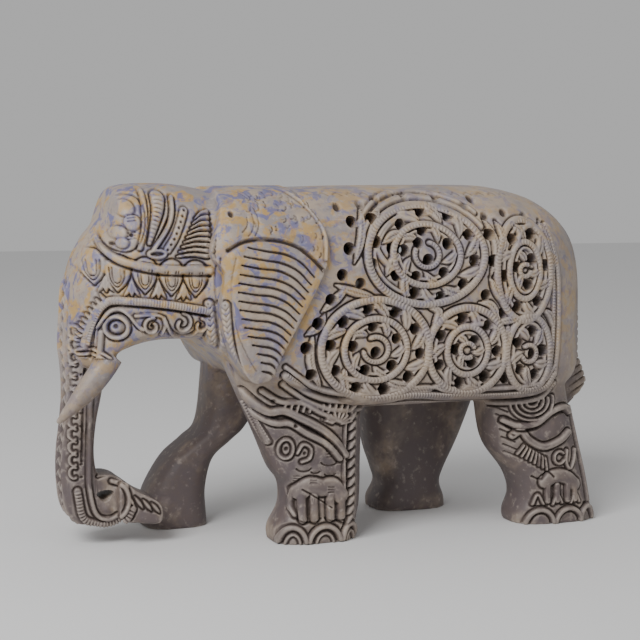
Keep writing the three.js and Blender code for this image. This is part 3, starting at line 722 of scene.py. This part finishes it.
def legRelief(relief, side):
    fore, hind = legFace("nearFore"), legFace("nearHind")
    # ribbed strip on the front edge of the fore leg
    ribbed(relief, side, flowing([(-50.4, 62), (-45.8, 53), (-40.6, 44)]), 2.6, 1.2, fore, 1.35, 0, 0.8)
    wings = [[(-52, 65.5), (-46.5, 60.6), (-40.8, 57.2), (-34.8, 57.6), (-28.1, 54.4), (-19.2, 49.6),
              (-12.5, 44.2),
              (-7.4, 37.5)],
             [(-51, 60), (-45, 55.6), (-38.6, 52.4), (-32, 52), (-25, 47.6), (-16, 42.6), (-10, 36)]]
    relief.band(flowing(wings[0]), 3.4, 1.6, 1.3)
    relief.band(flowing(wings[1]), 2.6, 1.3, 1.2)
    relief.groove(flowing(wings[0]) + (0.3, -2.6), 1.6, 1.7, leafShape)
    relief.band(flowing([(-44, 66.2), (-36, 61.4), (-27, 60.6), (-19, 56.2), (-10, 52)]), 2.2, 1.2, 1.0)
    for spot in ((-39.4, 61.8), (-17.2, 53.2), (-29.8, 51.2)):
        relief.dent(spot, 1.2, 1.6)
    # radiating hatch fan at the top of the leg
    for i in range(9):
        angle = math.radians(12 + 17 * i)
        hub = (-11.5, 50.5)
        relief.band([(hub[0] + 2.4 * math.cos(angle), hub[1] + 1.8 * math.sin(angle)),
                     (hub[0] + 7.2 * math.cos(angle), hub[1] + 5 * math.sin(angle))], 1.3, 1.1, 0.8)
    for i in range(12):
        x = -34 + 2.8 * i
        relief.band([(x, 60.6 - 0.08 * (x + 34)), (x - 0.9, 57.6 - 0.08 * (x + 34))], 1.2, 0.9, 0.7)
    # oval eye with its mouth lines
    relief.band(arc((-33.6, 41.3), 3.0, 4.1), 1.3, 1.2, 0.9)
    relief.dent((-33.6, 41.3), 1.1, 1.2)
    relief.band(flowing([(-29, 39.4), (-26.4, 43), (-23, 41), (-23.6, 37), (-27, 35.6)], 0.5), 1.3, 1.1,
                0.8)
    relief.dent((-25.8, 39.2), 0.9, 1.0)
    for x, z, size in ((-26, 33.2, 3.4), (-14.6, 35.6, 4.2), (-14.4, 30.2, 2.6), (-21, 31.4, 2.0)):
        relief.groove(arc((x, z), size, size * 0.55, 200, 140, 0.5), 1.0, 0.8)
    for x, z in ((-30, 29.5), (-23.4, 29), (-15.8, 24.5), (-16, 39.4)):
        for i in range(3):
            relief.groove([(x, z - 1.15 * i), (x + 2.6, z - 0.2 - 1.15 * i)], 0.6, 0.5)
    # the little elephant on the shin
    animal = flowing([(-27.2, 22.6), (-23.4, 25.2), (-18, 24), (-13.4, 24.4), (-9.8, 20.4)])
    relief.band(animal, 7.4, 1.5, 1.2)
    for x in (-26.6, -21.6, -14.4, -9.4):
        relief.band([(x, 21), (x + 0.2, 10.8)], 3.4, 1.5, 1.2)
    relief.band(flowing([(-29.4, 23.8), (-30.8, 17), (-29.4, 12.6)]), 1.8, 1.3, 1.0)
    relief.groove([(-26.2, 23.8), (-14, 15.4)], 1.0, 0.9)
    for x in (-23.5, -11.5):
        relief.groove(arc((x, 11.8), 5.4, 2.4, 200, 140, 0.5), 1.2, 1.1)
    # toes
    for x, width in ((-30.5, 5.6), (-16.6, 7.2), (-4.4, 4)):
        relief.band(arc((x, -0.6), width, 8, 165, -150), 2.2, 1.4, 1.0)
        relief.band(arc((x, -0.6), width * 0.55, 5, 165, -150), 1.2, 0.8, 0.6)
    # leaf notches up the rear edge
    rib = flowing([(-1.2, 57), (-2.2, 36), (-2.4, 20), (-3.2, 9)])
    relief.band(rib + (-5.6, 0), 1.0, 0.9, 0.7)
    for x, z in evenly(rib, 4.1):
        relief.band(flowing([(x - 4, z - 1.6), (x - 2, z + 0.8), (x - 0.6, z + 3)], 0.5), 2.0, 1.4, 1.2,
                    leafShape)
    # hind leg
    for radius in (2.4, 4.4, 6.4, 8.4):
        relief.band(arc((81, 56), radius * 1.25, radius, 185, 190), 1.1, 1.0, 0.8)
    relief.dent((84.6, 54.6), 1.2, 1.6)
    swoosh = flowing([(68, 48), (74, 45.5), (83, 46), (91, 51), (98, 52.5), (101.5, 50)])
    relief.band(swoosh, 2.8, 1.5, 1.3)
    relief.groove(swoosh + (0, -2.4), 1.6, 1.6, leafShape)
    wing = flowing([(72, 41), (76, 43), (80, 38.6), (87, 35.4), (95, 37.6), (100, 41)])
    relief.band(wing, 3.2, 1.5, 1.1)
    for i in range(8):
        relief.band([(77.4 + 1.5 * i, 36.4 - 0.9 * i), (74.8 + 2.0 * i, 32.6 - 1.1 * i)], 1.1, 1.0, 0.8)
    for i in range(7):
        relief.groove([(64.2 + 0.9 * i, 54 - 3.4 * i), (69.8 + 0.9 * i, 51.6 - 3.4 * i)], 1.0, 0.8)
    relief.band(arc((95, 30), 2.6, 2.8, 40, 290, 0.5), 1.2, 1.1, 0.8)
    relief.band(flowing([(99, 33), (98.4, 28), (100.6, 24.6), (103, 29), (103.6, 33)]), 1.3, 1.1, 0.8)
    relief.groove(flowing([(82, 22), (86, 20.6), (89, 24), (92, 21.6)]), 1.2, 1.1)
    animal = flowing([(88.4, 19.4), (92.6, 21.6), (98.4, 21), (103, 17.4)])
    relief.band(animal, 6.2, 1.2, 1.0)
    for x in (89.4, 94, 99.4, 103):
        relief.band([(x, 17.6), (x + 0.2, 10.6)], 2.6, 1.2, 1.0)
    for x in (83, 92, 101):
        relief.band(flowing([(x, 9), (x + 2.2, 13.5), (x + 4.6, 9.4)], 0.5), 1.2, 1.0, 0.8)
    for x, width in ((86.5, 6.4), (100.5, 6.8), (110.6, 4)):
        relief.band(arc((x, -0.8), width, 7.4, 165, -150), 2.1, 1.3, 1.0)
        relief.groove([(x - width * 0.6, 8.6), (x + width * 0.5, 8.2)], 0.9, 0.8)
    relief.band(flowing([(103, 52), (106, 36), (109.4, 20), (111.6, 8)]), 1.6, 1.0, 0.7)


def trunkRelief(relief, side):
    # a raised rib down the side that curls round the tip
    rib = flowing([(-109, 92), (-110.4, 74), (-111.2, 52), (-111.6, 36), (-111.4, 24), (-108.6, 13.6),
                   (-103, 11),
                   (-97.6, 14.4), (-95.8, 20), (-97.6, 25.4), (-101.8, 27.2)])
    relief.band(rib, 1.9, 1.1, 0.8)
    relief.groove(rib[:70] + (-3.0, 0), 1.6, 1.5)
    outer = flowing([(-116.6, 24), (-114.4, 13), (-109.6, 9.6), (-103.4, 8.6), (-97.2, 11.2), (-94.2,
                                                            16)])
    relief.band(outer, 3.0, 1.0, 0.8, None, 0, 1.4, 0, 0.7)
    for i in range(12):
        z = 30 + 5.4 * i
        relief.dent((-114.9, z), 0.9, 1.0)
        relief.band(arc((-118.0, z + 2), 1.7, 2.4, 60, 240, 0.5), 1.1, 0.9, 0.7)
    relief.band(flowing([(-107.6, 29.6), (-103, 31.6), (-98.2, 29), (-95.8, 24)]), 2.2, 1.2, 1.0,
                leafShape, 0, 2.6, 0, 0.5)
    relief.dent((-104.8, 20.6), 2.4, 2.4)
    for i in range(4):
        relief.band([(-97 + 3.6 * i, 22.6 - 1.6 * i), (-93.4 + 3.6 * i, 17 - 1.2 * i)], 1.5, 1.0, 0.9,
                    leafShape)


relief = {near: Relief((-126, -2), (126, 156), 0.25), far: Relief((-126, -2), (126, 156), 0.3)}
for side in (near, far):
    carved = relief[side]
    flankRelief(carved, side, side == near)
    earRelief(carved, side == near)
    headRelief(carved, side, side == near)
legRelief(relief[near], near)
trunkRelief(relief[near], near)
collarRelief(relief[near])
print("relief", [len(ribbons[side]) for side in (near, far)])


# Grooves round the tail and flutes up the front of the head and trunk follow the form itself.
def tailNotches(x, z):
    line = np.array(tail["line"], float)
    inward = np.interp(-z, -line[:, 1], line[:, 0]) - x
    phase = (z + 0.55 * inward) / 3.5
    return -0.95 * np.clip(np.cos(2 * math.pi * phase), 0, 1) ** 3 * np.clip(1 - inward / 7, 0, 1)


def frontFlutes(y, z):
    scallop = np.abs(y) - 1.2 * np.abs((z / 5.2) % 1 - 0.5) * 2
    bars = 0.9 * np.clip(np.cos(2 * math.pi * (z + 0.5 * np.abs(y)) / 5.2), -0.4, 1)
    rails = 1.2 * np.exp(-((np.abs(y) - 6.4) / 0.8) ** 2) - 0.9 * np.exp(-((np.abs(y) - 4.9) / 0.6) ** 2)
    return bars * (np.abs(y) < 4.4) * (scallop < 4) + rails


def smoothstep(low, high, value):
    t = np.clip((value - low) / (high - low), 0, 1)
    return t * t * (3 - 2 * t)


def arrays(mesh):
    count = len(mesh.vertices)
    places, normals = np.empty(count * 3), np.empty(count * 3)
    mesh.vertices.foreach_get("co", places)
    mesh.vertex_normals.foreach_get("vector", normals)
    return places.reshape(-1, 3), normals.reshape(-1, 3)


# How strongly the carving of a side reaches each point of the surface.
def reach(places, normals, side):
    x, y, z = places.T
    facing = smoothstep(0.12, 0.5, normals[:, 1] * side)
    onSide = np.where(side * y > 3, 1.0, 0.0)
    onTusk = (z < 81) & (x < -102) & (side * y > 14.5)
    inside = (side * y < 30) & (z < 56) & (x > -64)          # inner faces of the legs
    trunkBand = (z < 78) & (x < -92)
    onTail = (x > 104) & (np.abs(y) < 5)
    weight = facing * onSide * ~onTusk * ~onTail
    weight = np.where(inside & ~trunkBand, 0, weight)
    crown = smoothstep(151.5, 149, z)                          # the very top is left smooth
    return weight * crown


def carve(mesh):
    places, normals = arrays(mesh)
    x, y, z = places.T
    lift = np.zeros(len(places))
    for side in (near, far):
        lift += relief[side].height(x, z) * reach(places, normals, side)
    onTail = (x > 106) & (np.abs(y) < 6) & (z < 133)
    lift += np.where(onTail, tailNotches(x, z) * smoothstep(0.2, 0.6, np.abs(normals[:, 1]) + normals[:,
                                                            0]), 0)
    onFront = (x < -108) & (z < 116) & (np.abs(y) < 12)
    lift += np.where(onFront, frontFlutes(y, z) * smoothstep(0.5, 0.85, -normals[:, 0]) * smoothstep(116,
                                                            108, z), 0)
    mesh.vertices.foreach_set("co", (places + normals * lift[:, None]).ravel())
    mesh.update()


def hollowCutter():
    hollow = roundedForm(form["hollow"], form["shoulderRoll"] - form["wall"], 3)
    return asObject("hollow", [hollow])


def drillCutter():
    bm = bmesh.new()
    for side in (near, far):
        for index, (x, z) in enumerate(latticeHoles(side == near)):
            radius = lattice["drillRadius"] * (1 + 0.06 * math.sin(index * 1.7))
            made = bmesh.ops.create_cone(bm, cap_ends=True, segments=lattice["drillSides"],
                                         radius1=radius,
                                         radius2=radius, depth=50)["verts"]
            bmesh.ops.rotate(bm, verts=made, matrix=Matrix.Rotation(math.pi / 2, 3, "X"))
            bmesh.ops.translate(bm, verts=made, vec=(x, side * 35, z))
    eye = slab(flowing(curl["eye"], 0.8, True)[:-1], -20, 20)
    return asObject("drills", [bm, eye])


def toMetres(piece):
    bm = bmesh.new()
    bm.from_mesh(piece.data)
    bmesh.ops.translate(bm, verts=bm.verts, vec=(shiftX, 0, 0))
    bmesh.ops.scale(bm, verts=bm.verts, vec=(0.001, 0.001, 0.001))
    bm.to_mesh(piece.data)
    bm.free()


# Painted shade with some grime in hollows and creases, and paleness of worn edges, from how each point stands to
# its neighbours.
def wear(mesh, rounds, extraShade):
    places, normals = arrays(mesh)
    edges = np.empty(len(mesh.edges) * 2, int)
    mesh.edges.foreach_get("vertices", edges)
    one, other = edges.reshape(-1, 2).T
    count = len(places)
    degree = np.maximum(np.bincount(one, minlength=count) + np.bincount(other, minlength=count), 1)
    softened = places.copy()
    for _ in range(rounds):
        for axis in range(3):
            total = (np.bincount(one, softened[other, axis], count) + np.bincount(other, softened[one,
                                                            axis], count))
            softened[:, axis] = 0.5 * softened[:, axis] + 0.5 * total / degree
    depth = ((softened - places) * normals).sum(1)
    # painted shade: concave points and the relief's recesses are darkened, standing in for the shade that falls in
    # hollows
    groove = np.clip(depth / 0.32, 0, 1) * 0.7 + extraShade
    edge = np.clip(-depth / 0.26, 0, 1)
    # where the faces are large the surface is plain, and its bend is no worn edge
    spans = np.linalg.norm(places[one] - places[other], axis=1)
    reachOut = (np.bincount(one, spans, count) + np.bincount(other, spans, count)) / degree
    fine = np.clip(1.6 - reachOut, 0, 1)
    groove, edge = groove * np.maximum(fine, 0.3), edge * fine
    for name, values in (("groove", np.clip(groove, 0, 1)), ("edge", edge)):
        layer = mesh.attributes.new(name, "FLOAT", "POINT")
        layer.data.foreach_set("value", values.astype(np.float32))


def finishPiece(piece, angle=None):
    toMetres(piece)
    for polygon in piece.data.polygons:
        polygon.use_smooth = True
    if angle:
        piece.data.set_sharp_from_angle(angle=math.radians(angle))
    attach(piece, "root")
    piece.data.materials.clear()
    piece.data.materials.append(soapstone)


# ---- the stone ----
class Sock:
    def __init__(self, tree, socket):
        self.tree, self.socket = tree, socket

    def maths(self, operation, *others):
        values = [self, *others]
        return self.tree.node("ShaderNodeMath", {"operation": operation}, **{str(i): v for i,
                                                            v in enumerate(values)})

    def __add__(self, other):
        return self.maths("ADD", other)

    def __radd__(self, other):
        return self.maths("ADD", other)

    def __sub__(self, other):
        return self.maths("SUBTRACT", other)

    def __rsub__(self, other):
        return self.tree.node("ShaderNodeMath", {"operation": "SUBTRACT"}, **{"0": other, "1": self})

    def __mul__(self, other):
        return self.maths("MULTIPLY", other)

    def __rmul__(self, other):
        return self.maths("MULTIPLY", other)

    def between(self, low, high):
        return self.tree.node("ShaderNodeMapRange", {"interpolation_type": "SMOOTHSTEP"},
                              **{"0": self, "1": low, "2": high, "3": 0.0, "4": 1.0})


class Shader:
    def __init__(self, name):
        self.material = bpy.data.materials.new(name)
        self.material.use_nodes = True
        self.nodes = self.material.node_tree.nodes
        self.links = self.material.node_tree.links
        self.surface = self.nodes["Principled BSDF"]

    def plug(self, socket, value):
        if isinstance(value, Sock):
            self.links.new(value.socket, socket)
        else:
            socket.default_value = value

    # a node of a type, with its settings first, then its sockets by number or name
    def node(self, kind, settings=None, out=0, **inputs):
        made = self.nodes.new(kind)
        for name, value in (settings or {}).items():
            if name == "stops":
                ramp = made.color_ramp
                while len(ramp.elements) < len(value):
                    ramp.elements.new(0.5)
                for element, (place, colour) in zip(ramp.elements, value):
                    element.position, element.color = place, (*colour, 1)
            else:
                setattr(made, name, value)
        for name, value in inputs.items():
            key = int(name) if name.isdigit() else name.replace("_", " ")
            self.plug(made.inputs[key], value)
        return Sock(self, made.outputs[out])

    def mix(self, share, one, other):
        made = self.nodes.new("ShaderNodeMix")
        made.data_type = "RGBA"
        sockets = [socket for socket in made.inputs if socket.type == "RGBA"]
        self.plug(made.inputs[0], share)
        for socket, value in zip(sockets, (one, other)):
            self.plug(socket, value if isinstance(value, Sock) else (*value, 1))
        return Sock(self, next(socket for socket in made.outputs if socket.type == "RGBA"))

    def noise(self, place, scale, detail=3.0, roughness=0.55, distortion=0.0):
        return self.node("ShaderNodeTexNoise", {"noise_dimensions": "3D"}, Vector=place,
                         Scale=float(scale),
                         Detail=float(detail), Roughness=roughness, Distortion=distortion)


# hollowShadeColour is a near-black brown used as painted shade, with some grime, in hollows and creases
stoneLook = {
    "cream": (0.40, 0.32, 0.25), "pale": (0.56, 0.48, 0.41), "grey": (0.29, 0.255, 0.25),
    "ochre": (0.48, 0.29, 0.08), "lavender": (0.13, 0.135, 0.29), "rose": (0.33, 0.2, 0.15),
    # shadedMauve: the stone's own mauve tone, darkened further as painted shade for the lower parts
    "shadedMauve": (0.105, 0.08, 0.08), "hollowShadeColour": (0.045, 0.03, 0.023), "roughness": 0.5,
}


def soapstoneMaterial():
    shade = Shader("soapstone")
    look = stoneLook
    place = shade.node("ShaderNodeTexCoord", out=3)
    split = place.socket
    parts = shade.nodes.new("ShaderNodeSeparateXYZ")
    shade.links.new(split, parts.inputs[0])
    x, z = Sock(shade, parts.outputs[0]), Sock(shade, parts.outputs[2])
    # the groove attribute carries the painted shade of hollows and creases
    groove = shade.node("ShaderNodeAttribute", {"attribute_name": "groove"}, out=2)
    edge = shade.node("ShaderNodeAttribute", {"attribute_name": "edge"}, out=2)
    cloud = shade.noise(place, 42, 4, 0.6, 0.4)
    patch = shade.noise(place, 105, 4, 0.62, 0.8)
    fleck = shade.noise(place, 330, 3, 0.6)
    grain = shade.noise(place, 1500, 2, 0.6)
    # the head and ear keep more of the coloured veins than the flank, legs and trunk
    forward = 1 - x.between(-0.045, 0.03)
    high = z.between(0.06, 0.10)
    vivid = (forward * 0.55 + 0.45) * (high * 0.75 + 0.25)
    colour = shade.mix(cloud.between(0.42, 0.62), look["cream"], look["grey"])
    colour = shade.mix(patch.between(0.50, 0.58) * vivid * 0.8, colour, look["ochre"])
    blue = shade.noise(place, 130, 4, 0.6, 1.0)
    colour = shade.mix(blue.between(0.51, 0.60) * vivid * 0.85, colour, look["lavender"])
    rose = shade.noise(place, 165, 3, 0.6, 0.5)
    colour = shade.mix(rose.between(0.60, 0.68) * vivid * 0.6, colour, look["rose"])
    # the lower legs, trunk base and tail end turn dark mauve: partly the stone's own tone, partly painted shade
    # darkening them towards the bottom
    low = 1 - z.between(0.045, 0.085)
    trunk = 1 - x.between(-0.112, -0.1)
    tailEnd = x.between(0.104, 0.113)
    mauveAndShadeBelow = shade.node("ShaderNodeMath", {"operation": "MAXIMUM"}, **{"0": low * 0.9, "1": tailEnd * 0.7})
    mauveAndShadeBelow = shade.node("ShaderNodeMath", {"operation": "MAXIMUM"}, **{"0": mauveAndShadeBelow, "1": trunk * low * 0.85})
    colour = shade.mix(mauveAndShadeBelow * cloud.between(0.2, 0.5), colour, look["shadedMauve"])
    colour = shade.mix(fleck.between(0.55, 0.75) * 0.35, colour, look["pale"])
    colour = shade.mix(fleck.between(0.45, 0.28) * 0.3, colour, look["shadedMauve"])
    colour = shade.mix(edge * 0.45, colour, look["pale"])
    # painted shade with some grime: hollows and creases are mixed towards a near-black brown
    hollowShade = shade.node("ShaderNodeMath", {"operation": "MINIMUM", "use_clamp": True},
                       **{"0": groove * (grain * 0.5 + 1.0), "1": 0.96})
    colour = shade.mix(hollowShade, colour, look["hollowShadeColour"])
    shade.plug(shade.surface.inputs["Base Color"], colour)
    shade.plug(shade.surface.inputs["Roughness"],
               hollowShade * 0.3 + fleck * 0.16 + (look["roughness"] - 0.08))
    shade.surface.inputs["Specular IOR Level"].default_value = 0.42
    height = grain * 0.5 + fleck * 0.9
    bump = shade.node("ShaderNodeBump", None, **{"Height": height})
    bumpNode = bump.socket.node
    bumpNode.inputs["Strength"].default_value = 0.35
    bumpNode.inputs["Distance"].default_value = 0.00025
    shade.plug(shade.surface.inputs["Normal"], bump)
    return shade.material


soapstone = soapstoneMaterial()

stone = blank()
worked(stone, ("REMESH", {"mode": "VOXEL", "voxel_size": 0.85}),
       ("SMOOTH", {"iterations": 4, "factor": 0.5}),
       ("SUBSURF", {"levels": 1, "render_levels": 1, "subdivision_type": "CATMULL_CLARK"}))
print("blank", len(stone.data.vertices))
carve(stone.data)
print("carved")

# plain parts are thinned first, then the carved sides, so that the carving keeps most of the faces
budget = 168000
places, normals = arrays(stone.data)
detail = np.zeros(len(places))
for side in (near, far):
    carvedHere = relief[side].raised + relief[side].moat + relief[side].cut > 0.12
    detail = np.maximum(detail, relief[side].sample(carvedHere.astype(float), places[:, 0], places[:, 2])
                        * reach(places, normals, side))
detail = np.where((places[:, 0] < -110) & (np.abs(places[:, 1]) < 9), 1, detail)
plain = stone.vertex_groups.new(name="plain")
plain.add(np.nonzero(detail < 0.3)[0].tolist(), 1.0, "REPLACE")
faces = len(stone.data.polygons) * 2
share = 1 - (detail >= 0.3).mean()
worked(stone, ("DECIMATE", {"ratio": 1 - share * 0.93, "vertex_group": "plain",
                            "vertex_group_factor": 1.0}))
print("plain parts thinned", faces, len(stone.data.polygons))
stone.vertex_groups.clear()
worked(stone, ("DECIMATE", {"ratio": budget / len(stone.data.polygons)}))
print("thinned", len(stone.data.polygons))

for cutter in (hollowCutter(), drillCutter()):
    worked(stone, ("BOOLEAN", {"object": cutter, "operation": "DIFFERENCE", "solver": "MANIFOLD"}))
    discard(cutter)
    print("cut", len(stone.data.polygons))

places, normals = arrays(stone.data)
# painted shade of the relief's moats and cuts, added to the painted shade of the hollows
dark = np.zeros(len(places))
for side in (near, far):
    dark += relief[side].darkness(places[:, 0], places[:, 2]) * reach(places, normals, side)
wear(stone.data, 7, dark * 0.5)
finishPiece(stone, 50)
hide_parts("elephant")


# ---- ribbed ribbons over the bands ----
ribbonShape = [(-1.0, None), (-1.0, 0.25), (-0.72, 0.8), (-0.3, 1.0), (0.3, 1.0), (0.72, 0.8), (1.0,
                                                            0.25),
               (1.0, None), (-1.0, None)]


def ribbonInto(bm, facts, side):
    pitch, width, rise = facts["pitch"], facts["width"], facts["rise"]
    path = evenly(facts["path"], pitch / 4)
    closed = np.hypot(*(path[0] - path[-1])) < 0.05
    ahead = np.gradient(path, axis=0)
    if closed:
        ahead[0] = ahead[-1] = path[1] - path[-2]
    ahead /= np.maximum(np.hypot(*ahead.T), 1e-9)[:, None]
    across = np.column_stack([-ahead[:, 1], ahead[:, 0]])
    count, wide = len(path), len(ribbonShape)
    made = bmesh.ops.create_grid(bm, x_segments=count - 1, y_segments=wide - 1, size=1)["verts"]
    steps = np.arange(count)
    rows = []
    for offset, level in ribbonShape:
        place = path + across * (offset * width / 2)
        ground = facts["face"](place[:, 0], place[:, 1])
        if level is None:
            lift = np.full(count, -1.0)
        else:
            phase = 0.5 + 0.5 * np.cos(2 * math.pi * (steps / 4 + facts["slant"] * abs(offset) * width / 2 / pitch))
            lift = rise * level * (1 - 0.5 * phase ** 1.5) + 0.08
        rows.append(np.column_stack([place[:, 0], side * (ground + lift), place[:, 1]]))
    for vert in made:
        i = int(round((vert.co.x + 1) / 2 * (count - 1)))
        j = int(round((vert.co.y + 1) / 2 * (wide - 1)))
        vert.co = rows[j][i]


for side, name in ((near, "scroll_ribs_near"), (far, "scroll_ribs_far")):
    bm = bmesh.new()
    for facts in ribbons[side]:
        ribbonInto(bm, facts, side)
    bmesh.ops.remove_doubles(bm, verts=bm.verts, dist=1e-3)
    openEdges = [edge for edge in bm.edges if edge.is_boundary]
    bmesh.ops.holes_fill(bm, edges=openEdges, sides=0)
    bmesh.ops.recalc_face_normals(bm, faces=bm.faces)
    bmesh.ops.triangulate(bm, faces=bm.faces)
    ribs = asObject(name, [bm])
    wear(ribs.data, 3, 0)
    finishPiece(ribs)
    print(name, len(ribs.data.polygons))


# ---- studio ----
camera = bpy.data.objects.new("camera", bpy.data.cameras.new("camera"))
bpy.context.collection.objects.link(camera)
camera.location = (-0.2328, -0.6248, 0.150)
aim = Vector((-0.0105, -0.014, 0.093)) - camera.location
camera.rotation_euler = aim.to_track_quat("-Z", "Y").to_euler()
camera.data.lens = 84.375
camera.data.sensor_width = 36
bpy.context.scene.camera = camera

bm = bmesh.new()
bmesh.ops.create_grid(bm, x_segments=1, y_segments=1, size=3)
floor = asObject("floor", [bm])
key = bpy.data.objects.new("key", bpy.data.lights.new("key", "AREA"))
key.data.energy = 11
key.data.size = 0.6
key.location = (-0.7, -0.6, 0.8)
key.rotation_euler = (-Vector(key.location)).to_track_quat("-Z", "Y").to_euler()
bpy.context.collection.objects.link(key)
world = bpy.data.worlds.new("studio")
bpy.context.scene.world = world
world.use_nodes = True
world.node_tree.nodes["Background"].inputs[0].default_value = (0.8, 0.8, 0.8, 1)
world.node_tree.nodes["Background"].inputs[1].default_value = 0.6
